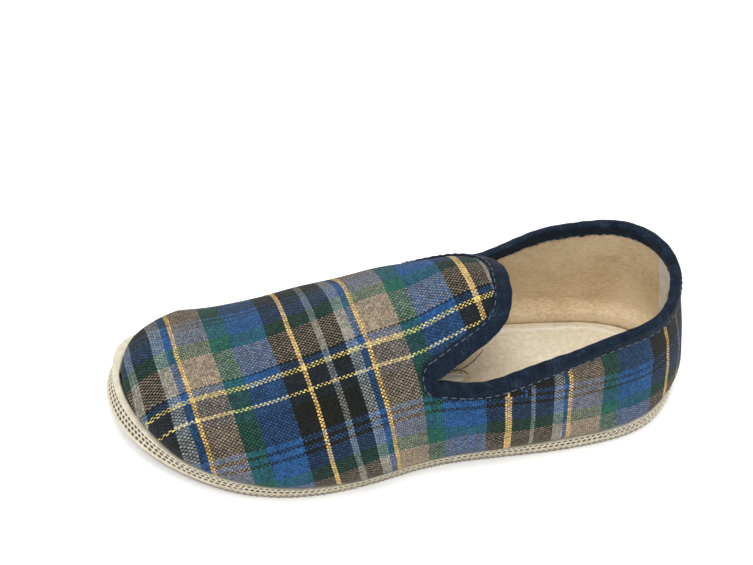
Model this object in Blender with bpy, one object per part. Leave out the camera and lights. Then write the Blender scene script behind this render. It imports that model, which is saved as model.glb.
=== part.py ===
"""A left slip-on slipper: plaid wool upper with a rounded tongue flap, felt edge tape, fleece footbed,
rubber side band and thin outsole.

Frame: +X to the toe, +Y to the outer (lateral) side, +Z up, metres, floor at Z = 0.
The plan outline of the sole is a closed cubic curve through a table of stations.
The upper follows from it: arched sections over the forepart, walls in upright planes round the back.
"""
import math

import bmesh
import bpy
import numpy as np
from mathutils import Vector
from mathutils.bvhtree import BVHTree

# driving sizes, metres
SOLE_LENGTH = 0.268
BALL_WIDTH = 0.108
INSTEP_HEIGHT = 0.081
HEEL_HEIGHT = 0.070
TOE_SPRING = 0.010
SPRING_START = 0.70
OUTSOLE_THICK = 0.003
OUTSOLE_INSET = 0.0008
OUTSOLE_BEVEL = 0.0008
BAND_HEIGHT = 0.0092
BAND_THICK = 0.0030
BAND_EASE = 0.0002
BAND_ROUND = 0.0004
TOE_THICKER = 0.0034
THICKER_START = 0.87
LIP_HEIGHT = 0.0018
LIP_PROUD = 0.0007
STRIP_HEIGHT = 0.0014
STRIP_PROUD = 0.0005
UPPER_WALL = 0.0028
OVERHANG = 0.0088
INNER_OVERHANG = 0.50
BULGE_RISE = 0.0200
INSOLE_THICK = 0.0060
INSOLE_EDGE = 0.0012
INSOLE_EASE = 0.0003
TAPE_WIDTH = 0.0075
TAPE_THICK = 0.0012
TAPE_EASE = 0.0002
GAP = 0.0003
LEAST_RISE = 0.0010
LEAST_HEIGHT = 0.0002

# throat: where the notches lie, how far back the tongue flap reaches, how square its end is, the tape's turn
NOTCH_FROM_HEEL = 0.125
FLAP_REACH = 0.041
FLAP_ROUNDNESS = 2.65
NOTCH_TURN = 0.0023
NOTCH_SEARCH = 0.030
HEEL_TURN = 0.034
WALL_BLEND = 0.070
BACK_LEAN = 0.0118
CROWN_FLAT = 0.47
CROWN_SIDE = 0.45
TOE_ROUND_LENGTH = 0.032
TOE_ROUND_POWER = 2.4

# plan of the sole: share of the length from the heel, outer half width, inner half width, shares of the ball width
OUTLINE = (
    (0.018, 0.150, 0.165),
    (0.066, 0.304, 0.273),
    (0.178, 0.400, 0.343),
    (0.320, 0.423, 0.362),
    (0.462, 0.442, 0.385),
    (0.594, 0.519, 0.446),
    (0.696, 0.538, 0.462),
    (0.797, 0.495, 0.442),
    (0.898, 0.371, 0.384),
    (0.970, 0.182, 0.285),
)
TOE_TIP_SHIFT = -0.048

# top line of the sections: share of the length from the heel, share of the instep height
RIDGE = (
    (0.320, 0.915),
    (0.391, 0.985),
    (0.462, 0.945),
    (0.543, 0.875),
    (0.635, 0.750),
    (0.726, 0.625),
    (0.817, 0.520),
    (0.898, 0.480),
    (0.970, 0.468),
)

# edge of the quarters: share of the way from the notch to the back of the heel, share of the heel height
TOPLINE = (
    (0.00, 0.720),
    (0.20, 0.705),
    (0.40, 0.865),
    (0.60, 0.980),
    (0.80, 1.015),
    (1.00, 0.990),
)

# height of the band: share of the length from the heel, share of its height at the toe
BAND = (
    (0.000, 0.85),
    (0.150, 0.70),
    (0.400, 0.42),
    (0.680, 0.43),
    (0.850, 0.85),
    (1.000, 1.00),
)

# how the upper bulges over the band: share of the length from the heel, share of the overhang, share of the rise,
# share of the overhang that is left at the edge of the quarters
BULGE = (
    (0.000, 0.66, 0.40, 0.78),
    (0.135, 0.78, 0.40, 0.32),
    (0.390, 1.00, 0.46, 1.00),
    (0.675, 0.85, 0.38, 1.00),
    (0.850, 0.75, 0.35, 1.00),
    (1.000, 0.04, 0.70, 1.00),
)

# counts
OUTLINE_POINTS = 1440
VAMP_STATIONS = 23
HALF_ROWS = 14
FOOT_ROWS = 3
WALL_ROWS = 7
QUARTER_STATIONS = 44
FLAP_STEPS = 7
SOLE_STATIONS = 96


def colour(hex_text):
    """Linear colour of an sRGB hex string."""
    parts = [int(hex_text[i:i + 2], 16) / 255.0 for i in (1, 3, 5)]
    return tuple(c / 12.92 if c <= 0.04045 else ((c + 0.055) / 1.055) ** 2.4 for c in parts) + (1.0,)


def spline(table, column):
    """Natural cubic curve through the first column of a table and another of its columns."""
    x = np.array([row[0] for row in table])
    y = np.array([row[column] for row in table])
    count = len(x)
    h = np.diff(x)
    a = np.eye(count)
    b = np.zeros(count)
    for i in range(1, count - 1):
        a[i, i - 1:i + 2] = h[i - 1], 2 * (h[i - 1] + h[i]), h[i]
        b[i] = 6 * ((y[i + 1] - y[i]) / h[i] - (y[i] - y[i - 1]) / h[i - 1])
    m = np.linalg.solve(a, b)

    def value(at):
        at = np.clip(at, x[0], x[-1])
        i = np.clip(np.searchsorted(x, at) - 1, 0, count - 2)
        before = x[i + 1] - at
        after = at - x[i]
        bend = (m[i] * before ** 3 + m[i + 1] * after ** 3) / (6 * h[i])
        return bend + (y[i] / h[i] - m[i] * h[i] / 6) * before + (y[i + 1] / h[i] - m[i + 1] * h[i] / 6) * after

    return value


def closed_curve(points, count):
    """Closed cubic curve through plan points, sampled evenly."""
    points = np.array(points)
    n = len(points)
    d = np.linalg.norm(np.roll(points, -1, 0) - points, axis=1)
    t = np.concatenate([[0.0], np.cumsum(d)])
    a = np.zeros((n, n))
    b = np.zeros((n, 2))
    for i in range(n):
        a[i, i - 1] = d[i - 1]
        a[i, i] = 2 * (d[i - 1] + d[i])
        a[i, (i + 1) % n] = d[i]
        b[i] = 6 * ((points[(i + 1) % n] - points[i]) / d[i] - (points[i] - points[i - 1]) / d[i - 1])
    k = np.linalg.solve(a, b)
    u = np.linspace(0, t[-1], count, endpoint=False)
    i = np.clip(np.searchsorted(t, u, side="right") - 1, 0, n - 1)
    j = (i + 1) % n
    h = d[i][:, None]
    before = (t[i + 1] - u)[:, None]
    after = (u - t[i])[:, None]
    bend = (k[i] * before ** 3 + k[j] * after ** 3) / (6 * h)
    return bend + (points[i] / h - k[i] * h / 6) * before + (points[j] / h - k[j] * h / 6) * after


def smooth(t):
    t = np.clip(t, 0.0, 1.0)
    return t * t * (3 - 2 * t)


class Last:
    """Plan outline and heights that every piece follows. X runs from 0 at the heel to the sole length."""

    def __init__(self):
        length = SOLE_LENGTH
        outer = [(row[0] * length, row[1] * BALL_WIDTH) for row in OUTLINE]
        inner = [(row[0] * length, -row[2] * BALL_WIDTH) for row in OUTLINE]
        points = [(0.0, 0.0)] + outer + [(length, TOE_TIP_SHIFT * BALL_WIDTH)] + inner[::-1]
        self.outline = closed_curve(points, OUTLINE_POINTS)
        d = np.roll(self.outline, -1, 0) - np.roll(self.outline, 1, 0)
        d /= np.linalg.norm(d, axis=1)[:, None]
        self.normal = np.stack([-d[:, 1], d[:, 0]], 1)
        if ((self.outline - self.outline.mean(0)) * self.normal).sum() < 0:
            self.normal = -self.normal
        self.ridge_share = spline(RIDGE, 1)
        self.top_share = spline(TOPLINE, 1)
        self.bulge_share = spline(BULGE, 1)
        self.rise_share = spline(BULGE, 2)
        self.edge_share = spline(BULGE, 3)
        self.band_share = spline(BAND, 1)

    def offset(self, distance, thicker):
        """The outline moved out by a distance, and in by a share of what the band is thicker at the toe."""
        share = smooth((self.outline[:, :1] / SOLE_LENGTH - THICKER_START) / (1 - THICKER_START))
        return self.outline + self.normal * (distance - thicker * TOE_THICKER * share)

    def sides(self, distance, thicker):
        """Outer and inner half of an offset outline, from heel tip to toe tip."""
        o = self.offset(distance, thicker)
        n = len(o)
        heel = int(o[:, 0].argmin())
        toe = int(o[:, 0].argmax())
        first = o[[k % n for k in range(heel, toe + 1 if toe >= heel else toe + n + 1)]]
        second = o[[k % n for k in range(toe, heel + 1 if heel >= toe else heel + n + 1)]][::-1]
        return (first, second) if first[:, 1].mean() > second[:, 1].mean() else (second, first)

    def band(self, x):
        """Height of the band's top over the outsole."""
        return BAND_HEIGHT * self.band_share(x / SOLE_LENGTH)

    def floor(self, x):
        """Height of the tread over the floor: flat, then the toe spring."""
        return TOE_SPRING * np.clip((x / SOLE_LENGTH - SPRING_START) / (1 - SPRING_START), 0, 1) ** 2


LAST = Last()
SKIN = -(BAND_THICK + GAP + BAND_EASE)
BASE = OUTSOLE_THICK + GAP


class Skin:
    """One face of the upper. inset 0 is its outside, inset UPPER_WALL its inside."""

    def __init__(self, inset):
        self.inset = inset
        self.half = LAST.sides(SKIN - inset, 1.0)
        self.tip = min(self.half[0][:, 0].max(), self.half[1][:, 0].max())

    def half_width(self, side, x):
        curve = self.half[0 if side > 0 else 1]
        return np.interp(x, curve[:, 0], curve[:, 1])

    def foot(self, x):
        return LAST.floor(x) + BASE

    def ridge(self, x):
        """Top of the section: the table, rounded down to the foot line at the toe."""
        start = self.tip - TOE_ROUND_LENGTH
        t = np.clip((x - start) / (self.tip - start), 0, 1)
        top = LAST.ridge_share(x / SOLE_LENGTH) * INSTEP_HEIGHT - self.inset
        foot = self.foot(x)
        return foot + (top - foot) * (1 - t ** TOE_ROUND_POWER) ** (1 / TOE_ROUND_POWER)

    def bulge(self, side, x):
        """How far the cloth stands out over the band, less on the inner side in front of the heel."""
        share = np.clip(LAST.bulge_share(x / SOLE_LENGTH), 0.0, 1.0) * smooth((self.tip - x) / TOE_ROUND_LENGTH)
        inner = 1 - (1 - INNER_OVERHANG) * smooth((x - NOTCH_FROM_HEEL) / WALL_BLEND)
        return OVERHANG * share * (1.0 if side > 0 else inner)

    def low(self, x, foot, bulge, rise, samples=24):
        """Foot of every section, as (distance out, height): straight inside the band, then out over its top."""
        ledge = foot + LAST.band(x) + GAP + self.inset
        turn = np.linspace(0, math.pi / 2, samples)
        over = np.stack([bulge * np.sin(turn), ledge + max(rise - self.inset, LEAST_RISE) * (1 - np.cos(turn))], 1)
        return np.concatenate([[[0.0, foot]], over])

    def arch(self, side, x, samples=72):
        """Half section at x as (y, z): its foot as far as the widest place, then the side and crown to the ridge."""
        foot = self.foot(x)
        ridge = max(self.ridge(x), foot + LEAST_HEIGHT)
        yf = self.half_width(side, x)
        centre = 0.5 * (self.half_width(1, x) + self.half_width(-1, x))
        half = 0.5 * (ridge - foot)
        ledge = LAST.band(x) + GAP
        rise = min(BULGE_RISE * LAST.rise_share(x / SOLE_LENGTH), max(half - ledge, LEAST_RISE))
        scale = min(1.0, half / (ledge + rise))
        low = self.low(x, 0.0, self.bulge(side, x), rise)
        low = np.stack([yf + side * low[:, 0], foot + low[:, 1] * scale], 1)
        ym, zm = low[-1]
        t = np.linspace(0, 1, samples)
        s = 1 - t
        b = (s ** 3, 3 * s * s * t, 3 * s * t * t, t ** 3)
        y = (b[0] + b[1]) * ym + b[2] * (centre + (ym - centre) * CROWN_FLAT) + b[3] * centre
        z = b[0] * zm + b[1] * (zm + (ridge - zm) * CROWN_SIDE) + (b[2] + b[3]) * ridge
        return low, np.stack([y, z], 1)

    def wall(self, side, point, inward, top):
        """Section of the quarters in an upright plane through a foot point: its foot, then the rest to the edge."""
        x = point[0]
        low, high = self.arch(side, max(x, 0.10 * SOLE_LENGTH))
        arch = np.concatenate([low, high[1:]])
        low = self.low(x, self.foot(x), self.bulge(side, x), BULGE_RISE * LAST.rise_share(x / SOLE_LENGTH))
        z = np.linspace(low[-1, 1], top, 40)
        edge = OVERHANG * LAST.edge_share(x / SOLE_LENGTH)
        plain = low[-1, 0] + (edge - low[-1, 0]) * smooth((z - z[0]) / (top - z[0]))
        plain = plain - BACK_LEAN * inward[0] ** 2 * ((z - z[0]) / HEEL_HEIGHT) ** 1.5
        drawn = np.interp(z, arch[:, 1], (arch[:, 0] - arch[0, 0]) * side)
        share = smooth((NOTCH_FROM_HEEL - x) / WALL_BLEND)
        high = np.stack([drawn * (1 - share) + plain * share, z], 1)
        parts = []
        for part in (low, high):
            parts.append(np.stack([point[0] - inward[0] * part[:, 0], point[1] - inward[1] * part[:, 0], part[:, 1]], 1))
        return parts

    def quarter_feet(self, side, shares):
        """Foot points from the notch round to the back of the heel, and the way in from each."""
        curve = self.half[0 if side > 0 else 1]
        curve = curve[curve[:, 0] <= NOTCH_FROM_HEEL][::-1]
        first = np.array([[NOTCH_FROM_HEEL, self.half_width(side, NOTCH_FROM_HEEL)]])
        curve = np.concatenate([first, curve])
        points = along(curve, shares)
        inward = np.where(points[:, :1] < HEEL_TURN, np.array([[HEEL_TURN, 0.0]]) - points,
                          np.stack([0 * points[:, 0], -points[:, 1]], 1))
        return points, inward / np.linalg.norm(inward, axis=1)[:, None]

    def notch_split(self, side):
        """Share of the side and crown that lies under the notch, and their whole length by arc."""
        curve = self.arch(side, NOTCH_FROM_HEEL)[1]
        d = np.concatenate([[0.0], np.cumsum(np.linalg.norm(np.diff(curve, axis=0), axis=1))])
        return np.interp(TOPLINE[0][1] * HEEL_HEIGHT, curve[:, 1], d) / d[-1], d[-1]

    def rows(self, side, x, shares):
        low, high = self.arch(side, x)
        p = np.concatenate([foot_rows(low), along(high, shares)[1:]])
        return np.stack([np.full(len(p), x), p[:, 0], p[:, 1]], 1)


def foot_rows(low):
    """Foot, ledge at the band's top, halfway round the turn, widest place."""
    return low[[0, 1, 1 + (len(low) - 1) // 2, len(low) - 1]]


def along(curve, shares):
    """Points at shares of a polyline's length."""
    d = np.concatenate([[0.0], np.cumsum(np.linalg.norm(np.diff(curve, axis=0), axis=1))])
    at = np.asarray(shares) * d[-1]
    return np.stack([np.interp(at, d, curve[:, k]) for k in range(curve.shape[1])], 1)


def flap_edge_table():
    """Edge of the flap as angle and radius in the unit frame of half girth and reach."""
    x = 1 - np.linspace(0, 1, 200) ** 1.5
    y = 1 - x ** FLAP_ROUNDNESS
    return np.arctan2(y, x), np.hypot(x, y)


def flap_point(w, u, table):
    """Square w in -1..1, u in 0..1 laid on the flap: share of the half girth, share of the reach."""
    cx = w * math.sqrt(1 - u * u / 2)
    cy = u * math.sqrt(1 - w * w / 2)
    turn = math.atan2(cy, abs(cx))
    reach = float(np.interp(turn, table[0], table[1]))
    return cx * reach, cy * reach


def skin_mesh(inset, vamp, half_rows, wall_rows, quarters, flap):
    """Points and faces of one face of the upper, with its opening loop and its foot loop."""
    skin = Skin(inset)
    points = []
    index = {}

    def add(key, p):
        if key not in index:
            index[key] = len(points)
            points.append(tuple(p))
        return index[key]

    faces = []
    crown = half_rows - wall_rows
    shares = {}
    girth = {}
    for side in (1, -1):
        cut, total = skin.notch_split(side)
        low = np.linspace(0, 1, wall_rows + 1 - FOOT_ROWS) * cut
        high = cut + np.linspace(0, 1, crown + 1)[1:] * (1 - cut)
        shares[side] = np.concatenate([low, high])
        girth[side] = (1 - cut) * total

    # vamp: columns from the notch to the toe, rows from the outer foot over the ridge to the inner foot
    def vamp_key(i, j):
        return ("v", i, j)

    for i in range(vamp):
        u = i / vamp
        x = NOTCH_FROM_HEEL + (skin.tip - NOTCH_FROM_HEEL) * (1 - (1 - u) ** 1.9)
        outer = skin.rows(1, x, shares[1])
        inner = skin.rows(-1, x, shares[-1])
        for j, p in enumerate(outer):
            add(vamp_key(i, j), p)
        for j, p in enumerate(inner[::-1][1:]):
            add(vamp_key(i, half_rows + 1 + j), p)
    tip_y = 0.5 * (skin.half_width(1, skin.tip) + skin.half_width(-1, skin.tip))
    rows = 2 * half_rows
    tip = add("tip", (skin.tip, tip_y, float(skin.foot(skin.tip))))
    for i in range(vamp - 1):
        for j in range(rows):
            faces.append([index[vamp_key(*k)] for k in ((i, j), (i + 1, j), (i + 1, j + 1), (i, j + 1))])
    for j in range(rows):
        faces.append([index[vamp_key(vamp - 1, j)], tip, index[vamp_key(vamp - 1, j + 1)]])

    # quarters: columns from the outer notch round the heel to the inner notch
    ways = np.linspace(0, 1, quarters // 2 + 1)
    columns = []
    for side in (1, -1):
        feet, inward = skin.quarter_feet(side, ways)
        line = []
        for k, (p, d) in enumerate(zip(feet, inward)):
            top = float(LAST.top_share(ways[k])) * HEEL_HEIGHT
            low, high = skin.wall(side, p, d, top)
            line.append(np.concatenate([foot_rows(low), along(high, np.linspace(0, 1, wall_rows + 1 - FOOT_ROWS))[1:]]))
        columns.append(line)
    ring = columns[0] + columns[1][::-1][1:]
    last = len(ring) - 1
    for k, column in enumerate(ring):
        for j in range(wall_rows + 1):
            if k == 0:
                index[("q", k, j)] = index[vamp_key(0, j)]
            elif k == last:
                index[("q", k, j)] = index[vamp_key(0, rows - j)]
            else:
                add(("q", k, j), column[j])
    for k in range(last):
        for j in range(wall_rows):
            faces.append([index[("q", *c)] for c in ((k, j), (k, j + 1), (k + 1, j + 1), (k + 1, j))][::-1])

    # flap: a square laid on the rounded tongue, its first column on the section at the notch
    table = flap_edge_table()
    for n in range(flap + 1):
        for m in range(2 * crown + 1):
            w = (crown - m) / crown
            if n == 0:
                index[("f", n, m)] = index[vamp_key(0, wall_rows + m)]
                continue
            a, reach = flap_point(w, n / flap, table)
            side = 1 if a >= 0 else -1
            x = NOTCH_FROM_HEEL - reach * FLAP_REACH
            arch = np.concatenate(skin.arch(side, x))[::-1]
            d = np.concatenate([[0.0], np.cumsum(np.linalg.norm(np.diff(arch, axis=0), axis=1))])
            at = abs(a) * girth[side]
            add(("f", n, m), (x, np.interp(at, d, arch[:, 0]), np.interp(at, d, arch[:, 1])))
    for n in range(flap):
        for m in range(2 * crown):
            q = [index[("f", *c)] for c in ((n, m), (n, m + 1), (n + 1, m + 1), (n + 1, m))]
            if n == flap - 1 and m == 0:
                faces += [[q[0], q[1], q[2]], [q[0], q[2], q[3]]]
            elif n == flap - 1 and m == 2 * crown - 1:
                faces += [[q[0], q[1], q[3]], [q[1], q[2], q[3]]]
            else:
                faces.append(q)

    quarter_edge = [index[("q", k, wall_rows)] for k in range(last + 1)]
    flap_edge = [index[("f", n, 2 * crown)] for n in range(flap + 1)]
    flap_edge += [index[("f", flap, m)] for m in range(2 * crown - 1, -1, -1)]
    flap_edge += [index[("f", n, 0)] for n in range(flap - 1, -1, -1)]
    foot = [index[("q", k, 0)] for k in range(last + 1)]
    foot += [index[vamp_key(i, rows)] for i in range(1, vamp)] + [tip]
    foot += [index[vamp_key(i, 0)] for i in range(vamp - 1, 0, -1)]
    return np.array(points), faces, quarter_edge, flap_edge, foot


def make(name, points, faces, hex_text, roughness, shift=(0.0, 0.0)):
    """Closed body with outward faces and its own material."""
    mesh = bpy.data.meshes.new(name)
    bm = bmesh.new()
    verts = [bm.verts.new(Vector((p[0] - shift[0], p[1] - shift[1], p[2]))) for p in points]
    for face in faces:
        bm.faces.new([verts[i] for i in face])
    bmesh.ops.recalc_face_normals(bm, faces=bm.faces[:])
    bm.to_mesh(mesh)
    bm.free()
    mesh.shade_smooth()
    mesh.set_sharp_from_angle(angle=math.radians(50))
    body = bpy.data.objects.new(name, mesh)
    bpy.context.scene.collection.objects.link(body)
    material = bpy.data.materials.new(name + "_material")
    material.use_nodes = True
    shader = material.node_tree.nodes["Principled BSDF"]
    shader.inputs["Base Color"].default_value = colour(hex_text)
    shader.inputs["Roughness"].default_value = roughness
    shader.inputs["Metallic"].default_value = 0.0
    mesh.materials.append(material)
    return body


def sole_loop(distance, height, count, of_band=0.0, thicker=0.0):
    """Loop of an offset outline at a height over the tread: outer half from heel to toe, inner half back."""
    half = [along(curve, np.linspace(0, 1, count // 2 + 1)) for curve in LAST.sides(distance, thicker)]
    plan = np.concatenate([half[0], half[1][::-1][1:-1]])
    z = LAST.floor(plan[:, 0]) + height + of_band * LAST.band(plan[:, 0])
    return np.stack([plan[:, 0], plan[:, 1], z], 1)


def slab(rings, count, thicker):
    """Solid through loops from bottom to top, its ends closed by bars from side to side."""
    loops = [sole_loop(distance, height, count, 0.0, thicker) for distance, height in rings]
    points = np.concatenate(loops)
    faces = []
    for r in range(len(loops) - 1):
        for i in range(count):
            j = (i + 1) % count
            faces.append([r * count + i, r * count + j, (r + 1) * count + j, (r + 1) * count + i])
    for start in (0, (len(loops) - 1) * count):
        for i in range(count // 2):
            a, b = start + i, start + i + 1
            c, d = start + (count - i - 1) % count, start + (count - i) % count
            quad = [a, b, c, d]
            face = [v for k, v in enumerate(quad) if v not in quad[:k]]
            faces.append(face)
    return points, faces


def ring_body(profile, count):
    """Closed ring through a profile of offset, height, share of the band's height, share of the thicker toe."""
    loops = [sole_loop(*row[:2], count, *row[2:]) for row in profile]
    points = np.concatenate(loops)
    faces = []
    n = len(profile)
    for r in range(n):
        s = (r + 1) % n
        for i in range(count):
            j = (i + 1) % count
            faces.append([r * count + i, r * count + j, s * count + j, s * count + i])
    return points, faces


def upper_body():
    """Outside, inside and the two rims that join them."""
    outside = skin_mesh(0.0, VAMP_STATIONS, HALF_ROWS, WALL_ROWS, QUARTER_STATIONS, FLAP_STEPS)
    inside = skin_mesh(UPPER_WALL, VAMP_STATIONS, HALF_ROWS, WALL_ROWS, QUARTER_STATIONS, FLAP_STEPS)
    base = len(outside[0])
    points = np.concatenate([outside[0], inside[0]])
    faces = [list(f) for f in outside[1]] + [[base + v for v in f][::-1] for f in inside[1]]
    rims = [(skin[2] + skin[3][1:-1], skin[4]) for skin in (outside, inside)]
    for loop_out, loop_in in zip(*rims):
        n = len(loop_out)
        for i in range(n):
            j = (i + 1) % n
            faces.append([loop_out[i], loop_out[j], base + loop_in[j], base + loop_in[i]])
    return points, faces, outside, inside


def tape_path(quarter, flap, counts):
    """Edge of the opening as the tape runs: round the back, turned in each notch, over the tongue."""
    gap_at = np.linspace(0.0, NOTCH_SEARCH, 301)

    def walk(curve):
        d = np.concatenate([[0.0], np.cumsum(np.linalg.norm(np.diff(curve, axis=0), axis=1))])
        return np.stack([np.interp(gap_at, d, curve[:, k]) for k in range(3)], 1), d[-1]

    def meet(a, b):
        first, long_a = walk(a)
        second, long_b = walk(b)
        wide = np.linalg.norm(first - second, axis=1) >= 2 * NOTCH_TURN
        i = int(wide.argmax())
        return gap_at[i] / long_a, gap_at[i] / long_b, first[i], second[i], a[0]

    def turn(a, b, tip):
        centre = 0.5 * (a + b)
        across = 0.5 * (a - b)
        ahead = tip - centre
        ahead = ahead - across * (ahead @ across) / (across @ across)
        ahead = ahead * np.linalg.norm(across) / np.linalg.norm(ahead)
        ways = np.linspace(0, math.pi, counts[1] + 2)[1:-1]
        return np.array([centre + across * math.cos(t) + ahead * math.sin(t) for t in ways])

    q0, f1, a0, b0, tip0 = meet(quarter, flap[::-1])
    q1, f0, a1, b1, tip1 = meet(quarter[::-1], flap)
    back = along(quarter, np.linspace(q0, 1 - q1, counts[0]))
    tongue = along(flap, np.linspace(f0, 1 - f1, counts[2]))
    return np.concatenate([back, turn(a1, b1, tip1), tongue, turn(b0, a0, tip0)])


def tape_body(outside, inside):
    """Felt tape folded over the edge, its legs lying along the two faces of the upper."""
    counts = (58, 7, 44)
    paths = []
    trees = []
    for skin in (outside, inside):
        points = skin[0]
        paths.append(tape_path(points[skin[2]], points[skin[3]], counts))
        trees.append(BVHTree.FromPolygons([Vector(p) for p in points], skin[1]))
    middle = 0.5 * (paths[0] + paths[1])
    n = len(middle)
    along_edge = np.roll(middle, -1, 0) - np.roll(middle, 1, 0)
    along_edge /= np.linalg.norm(along_edge, axis=1)[:, None]
    out = paths[0] - paths[1]
    out -= along_edge * (out * along_edge).sum(1)[:, None]
    out /= np.linalg.norm(out, axis=1)[:, None]
    into = np.cross(along_edge, out)
    if into[counts[0] // 2, 2] > 0:
        into = -into
    c = GAP + TAPE_EASE
    full = c + TAPE_THICK
    w = TAPE_WIDTH
    # distance into the cloth from the edge, face 0 outside or 1 inside or 2 between, height off that face
    profile = ((w, 0, c), (w, 0, c + 0.55 * TAPE_THICK), (0.55 * w, 0, full), (0.0, 0, full),
               (-0.75 * full, 0, 0.45 * full), (-full, 2, 0.0), (-0.75 * full, 1, 0.45 * full),
               (0.0, 1, full), (0.55 * w, 1, full), (w, 1, c + 0.55 * TAPE_THICK), (w, 1, c),
               (0.5 * w, 1, c), (-c, 1, c), (-c, 0, c), (0.5 * w, 0, c))
    loops = []
    for deep, face, high in profile:
        line = []
        for i in range(n):
            if face == 2:
                line.append(middle[i] + into[i] * deep)
                continue
            sign = 1.0 if face == 0 else -1.0
            p = paths[face][i] + into[i] * deep
            if deep > 0:
                for _ in range(4):
                    near = np.array(trees[face].find_nearest(Vector(p))[0])
                    p = p + out[i] * ((near - p) @ out[i])
            line.append(p + out[i] * sign * high)
        loops.append(line)
    points = np.concatenate([np.array(line) for line in loops])
    faces = []
    m = len(profile)
    for r in range(m):
        s = (r + 1) % m
        for i in range(n):
            j = (i + 1) % n
            faces.append([r * n + i, r * n + j, s * n + j, s * n + i])
    return points, faces


def main():
    for old in list(bpy.data.objects):
        bpy.data.objects.remove(old, do_unlink=True)
    upper_points, upper_faces, outside, inside = upper_body()
    tape_points, tape_faces = tape_body(outside, inside)
    foot = OUTSOLE_THICK
    sole = slab(((-OUTSOLE_INSET - OUTSOLE_BEVEL, 0.0), (-OUTSOLE_INSET, OUTSOLE_BEVEL), (-OUTSOLE_INSET, foot)),
                SOLE_STATIONS, 0.0)
    low = foot + GAP
    band = ring_body((
        (-BAND_THICK, low, 0, 1),
        (-BAND_ROUND, low, 0, 0),
        (0.0, low + BAND_ROUND, 0, 0),
        (STRIP_PROUD, low + 0.5 * STRIP_HEIGHT, 0, 0),
        (0.0, low + STRIP_HEIGHT, 0, 0),
        (0.0, low - LIP_HEIGHT, 1, 0),
        (LIP_PROUD, low - 0.6 * LIP_HEIGHT, 1, 0),
        (LIP_PROUD * 0.8, low - BAND_ROUND, 1, 0.1),
        (-BAND_ROUND, low, 1, 0.4),
        (-BAND_THICK, low, 1, 1)), SOLE_STATIONS)
    seat = SKIN - UPPER_WALL - GAP - INSOLE_EASE
    bed = slab(((seat, low), (seat, low + INSOLE_THICK - INSOLE_EDGE), (seat - INSOLE_EDGE, low + INSOLE_THICK)),
               SOLE_STATIONS, 1.0)
    everything = np.concatenate([upper_points, tape_points, sole[0], band[0]])
    shift = 0.5 * (everything.min(0) + everything.max(0))[:2]
    make("outsole", *sole, "#8C8274", 0.85, shift)
    make("side_band", *band, "#D8CDB2", 0.60, shift)
    make("upper", upper_points, upper_faces, "#2A4A70", 0.95, shift)
    make("collar_binding", tape_points, tape_faces, "#18243A", 0.95, shift)
    make("insole", *bed, "#E6DCC2", 0.95, shift)


main()
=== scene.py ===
"""Looks of a left plaid wool slipper: woven upper, fleece lining and footbed, felt tape, moulded rubber sole.

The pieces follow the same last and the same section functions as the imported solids, on finer grids.
Lengths are metres. X runs to the toe, Y to the outer side, Z up, floor at Z = 0.
"""

import math

import bpy
import numpy as np
from mathutils import Matrix, Vector
from mathutils.bvhtree import BVHTree


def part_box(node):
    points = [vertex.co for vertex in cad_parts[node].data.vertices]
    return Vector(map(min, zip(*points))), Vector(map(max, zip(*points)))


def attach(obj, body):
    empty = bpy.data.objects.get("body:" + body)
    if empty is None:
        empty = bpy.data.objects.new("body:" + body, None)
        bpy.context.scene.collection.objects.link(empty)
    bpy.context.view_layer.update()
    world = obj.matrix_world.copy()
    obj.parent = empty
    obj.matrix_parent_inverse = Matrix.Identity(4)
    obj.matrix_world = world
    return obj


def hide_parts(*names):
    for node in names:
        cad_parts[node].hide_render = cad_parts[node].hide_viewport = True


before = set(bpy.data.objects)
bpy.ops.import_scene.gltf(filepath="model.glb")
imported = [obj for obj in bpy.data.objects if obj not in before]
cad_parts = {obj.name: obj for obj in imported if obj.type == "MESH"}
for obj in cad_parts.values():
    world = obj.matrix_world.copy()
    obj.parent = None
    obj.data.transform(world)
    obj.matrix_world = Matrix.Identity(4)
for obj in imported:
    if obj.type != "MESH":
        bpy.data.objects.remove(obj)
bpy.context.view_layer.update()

# driving sizes of the solids
SOLE_LENGTH = 0.268
BALL_WIDTH = 0.108
INSTEP_HEIGHT = 0.081
HEEL_HEIGHT = 0.070
TOE_SPRING = 0.010
SPRING_START = 0.70
OUTSOLE_THICK = 0.003
OUTSOLE_INSET = 0.0008
OUTSOLE_BEVEL = 0.0008
BAND_HEIGHT = 0.0092
BAND_THICK = 0.0030
BAND_EASE = 0.0002
BAND_ROUND = 0.0004
TOE_THICKER = 0.0034
THICKER_START = 0.87
LIP_PROUD = 0.0007
STRIP_PROUD = 0.0005
UPPER_WALL = 0.0028
OVERHANG = 0.0088
INNER_OVERHANG = 0.50
BULGE_RISE = 0.0200
INSOLE_THICK = 0.0060
INSOLE_EASE = 0.0003
TAPE_WIDTH = 0.0075
TAPE_THICK = 0.0012
GAP = 0.0003
LEAST_RISE = 0.0010
LEAST_HEIGHT = 0.0002
NOTCH_FROM_HEEL = 0.125
FLAP_REACH = 0.041
FLAP_ROUNDNESS = 2.65
NOTCH_TURN = 0.0023
NOTCH_SEARCH = 0.030
HEEL_TURN = 0.034
WALL_BLEND = 0.070
BACK_LEAN = 0.0118
CROWN_FLAT = 0.47
CROWN_SIDE = 0.45
TOE_ROUND_LENGTH = 0.032
TOE_ROUND_POWER = 2.4

# plan of the sole: share of the length from the heel, outer half width, inner half width, shares of the ball width
OUTLINE = (
    (0.018, 0.150, 0.165), (0.066, 0.304, 0.273), (0.178, 0.400, 0.343), (0.320, 0.423, 0.362),
    (0.462, 0.442, 0.385), (0.594, 0.519, 0.446), (0.696, 0.538, 0.462), (0.797, 0.495, 0.442),
    (0.898, 0.371, 0.384), (0.970, 0.182, 0.285),
)
TOE_TIP_SHIFT = -0.048
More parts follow.
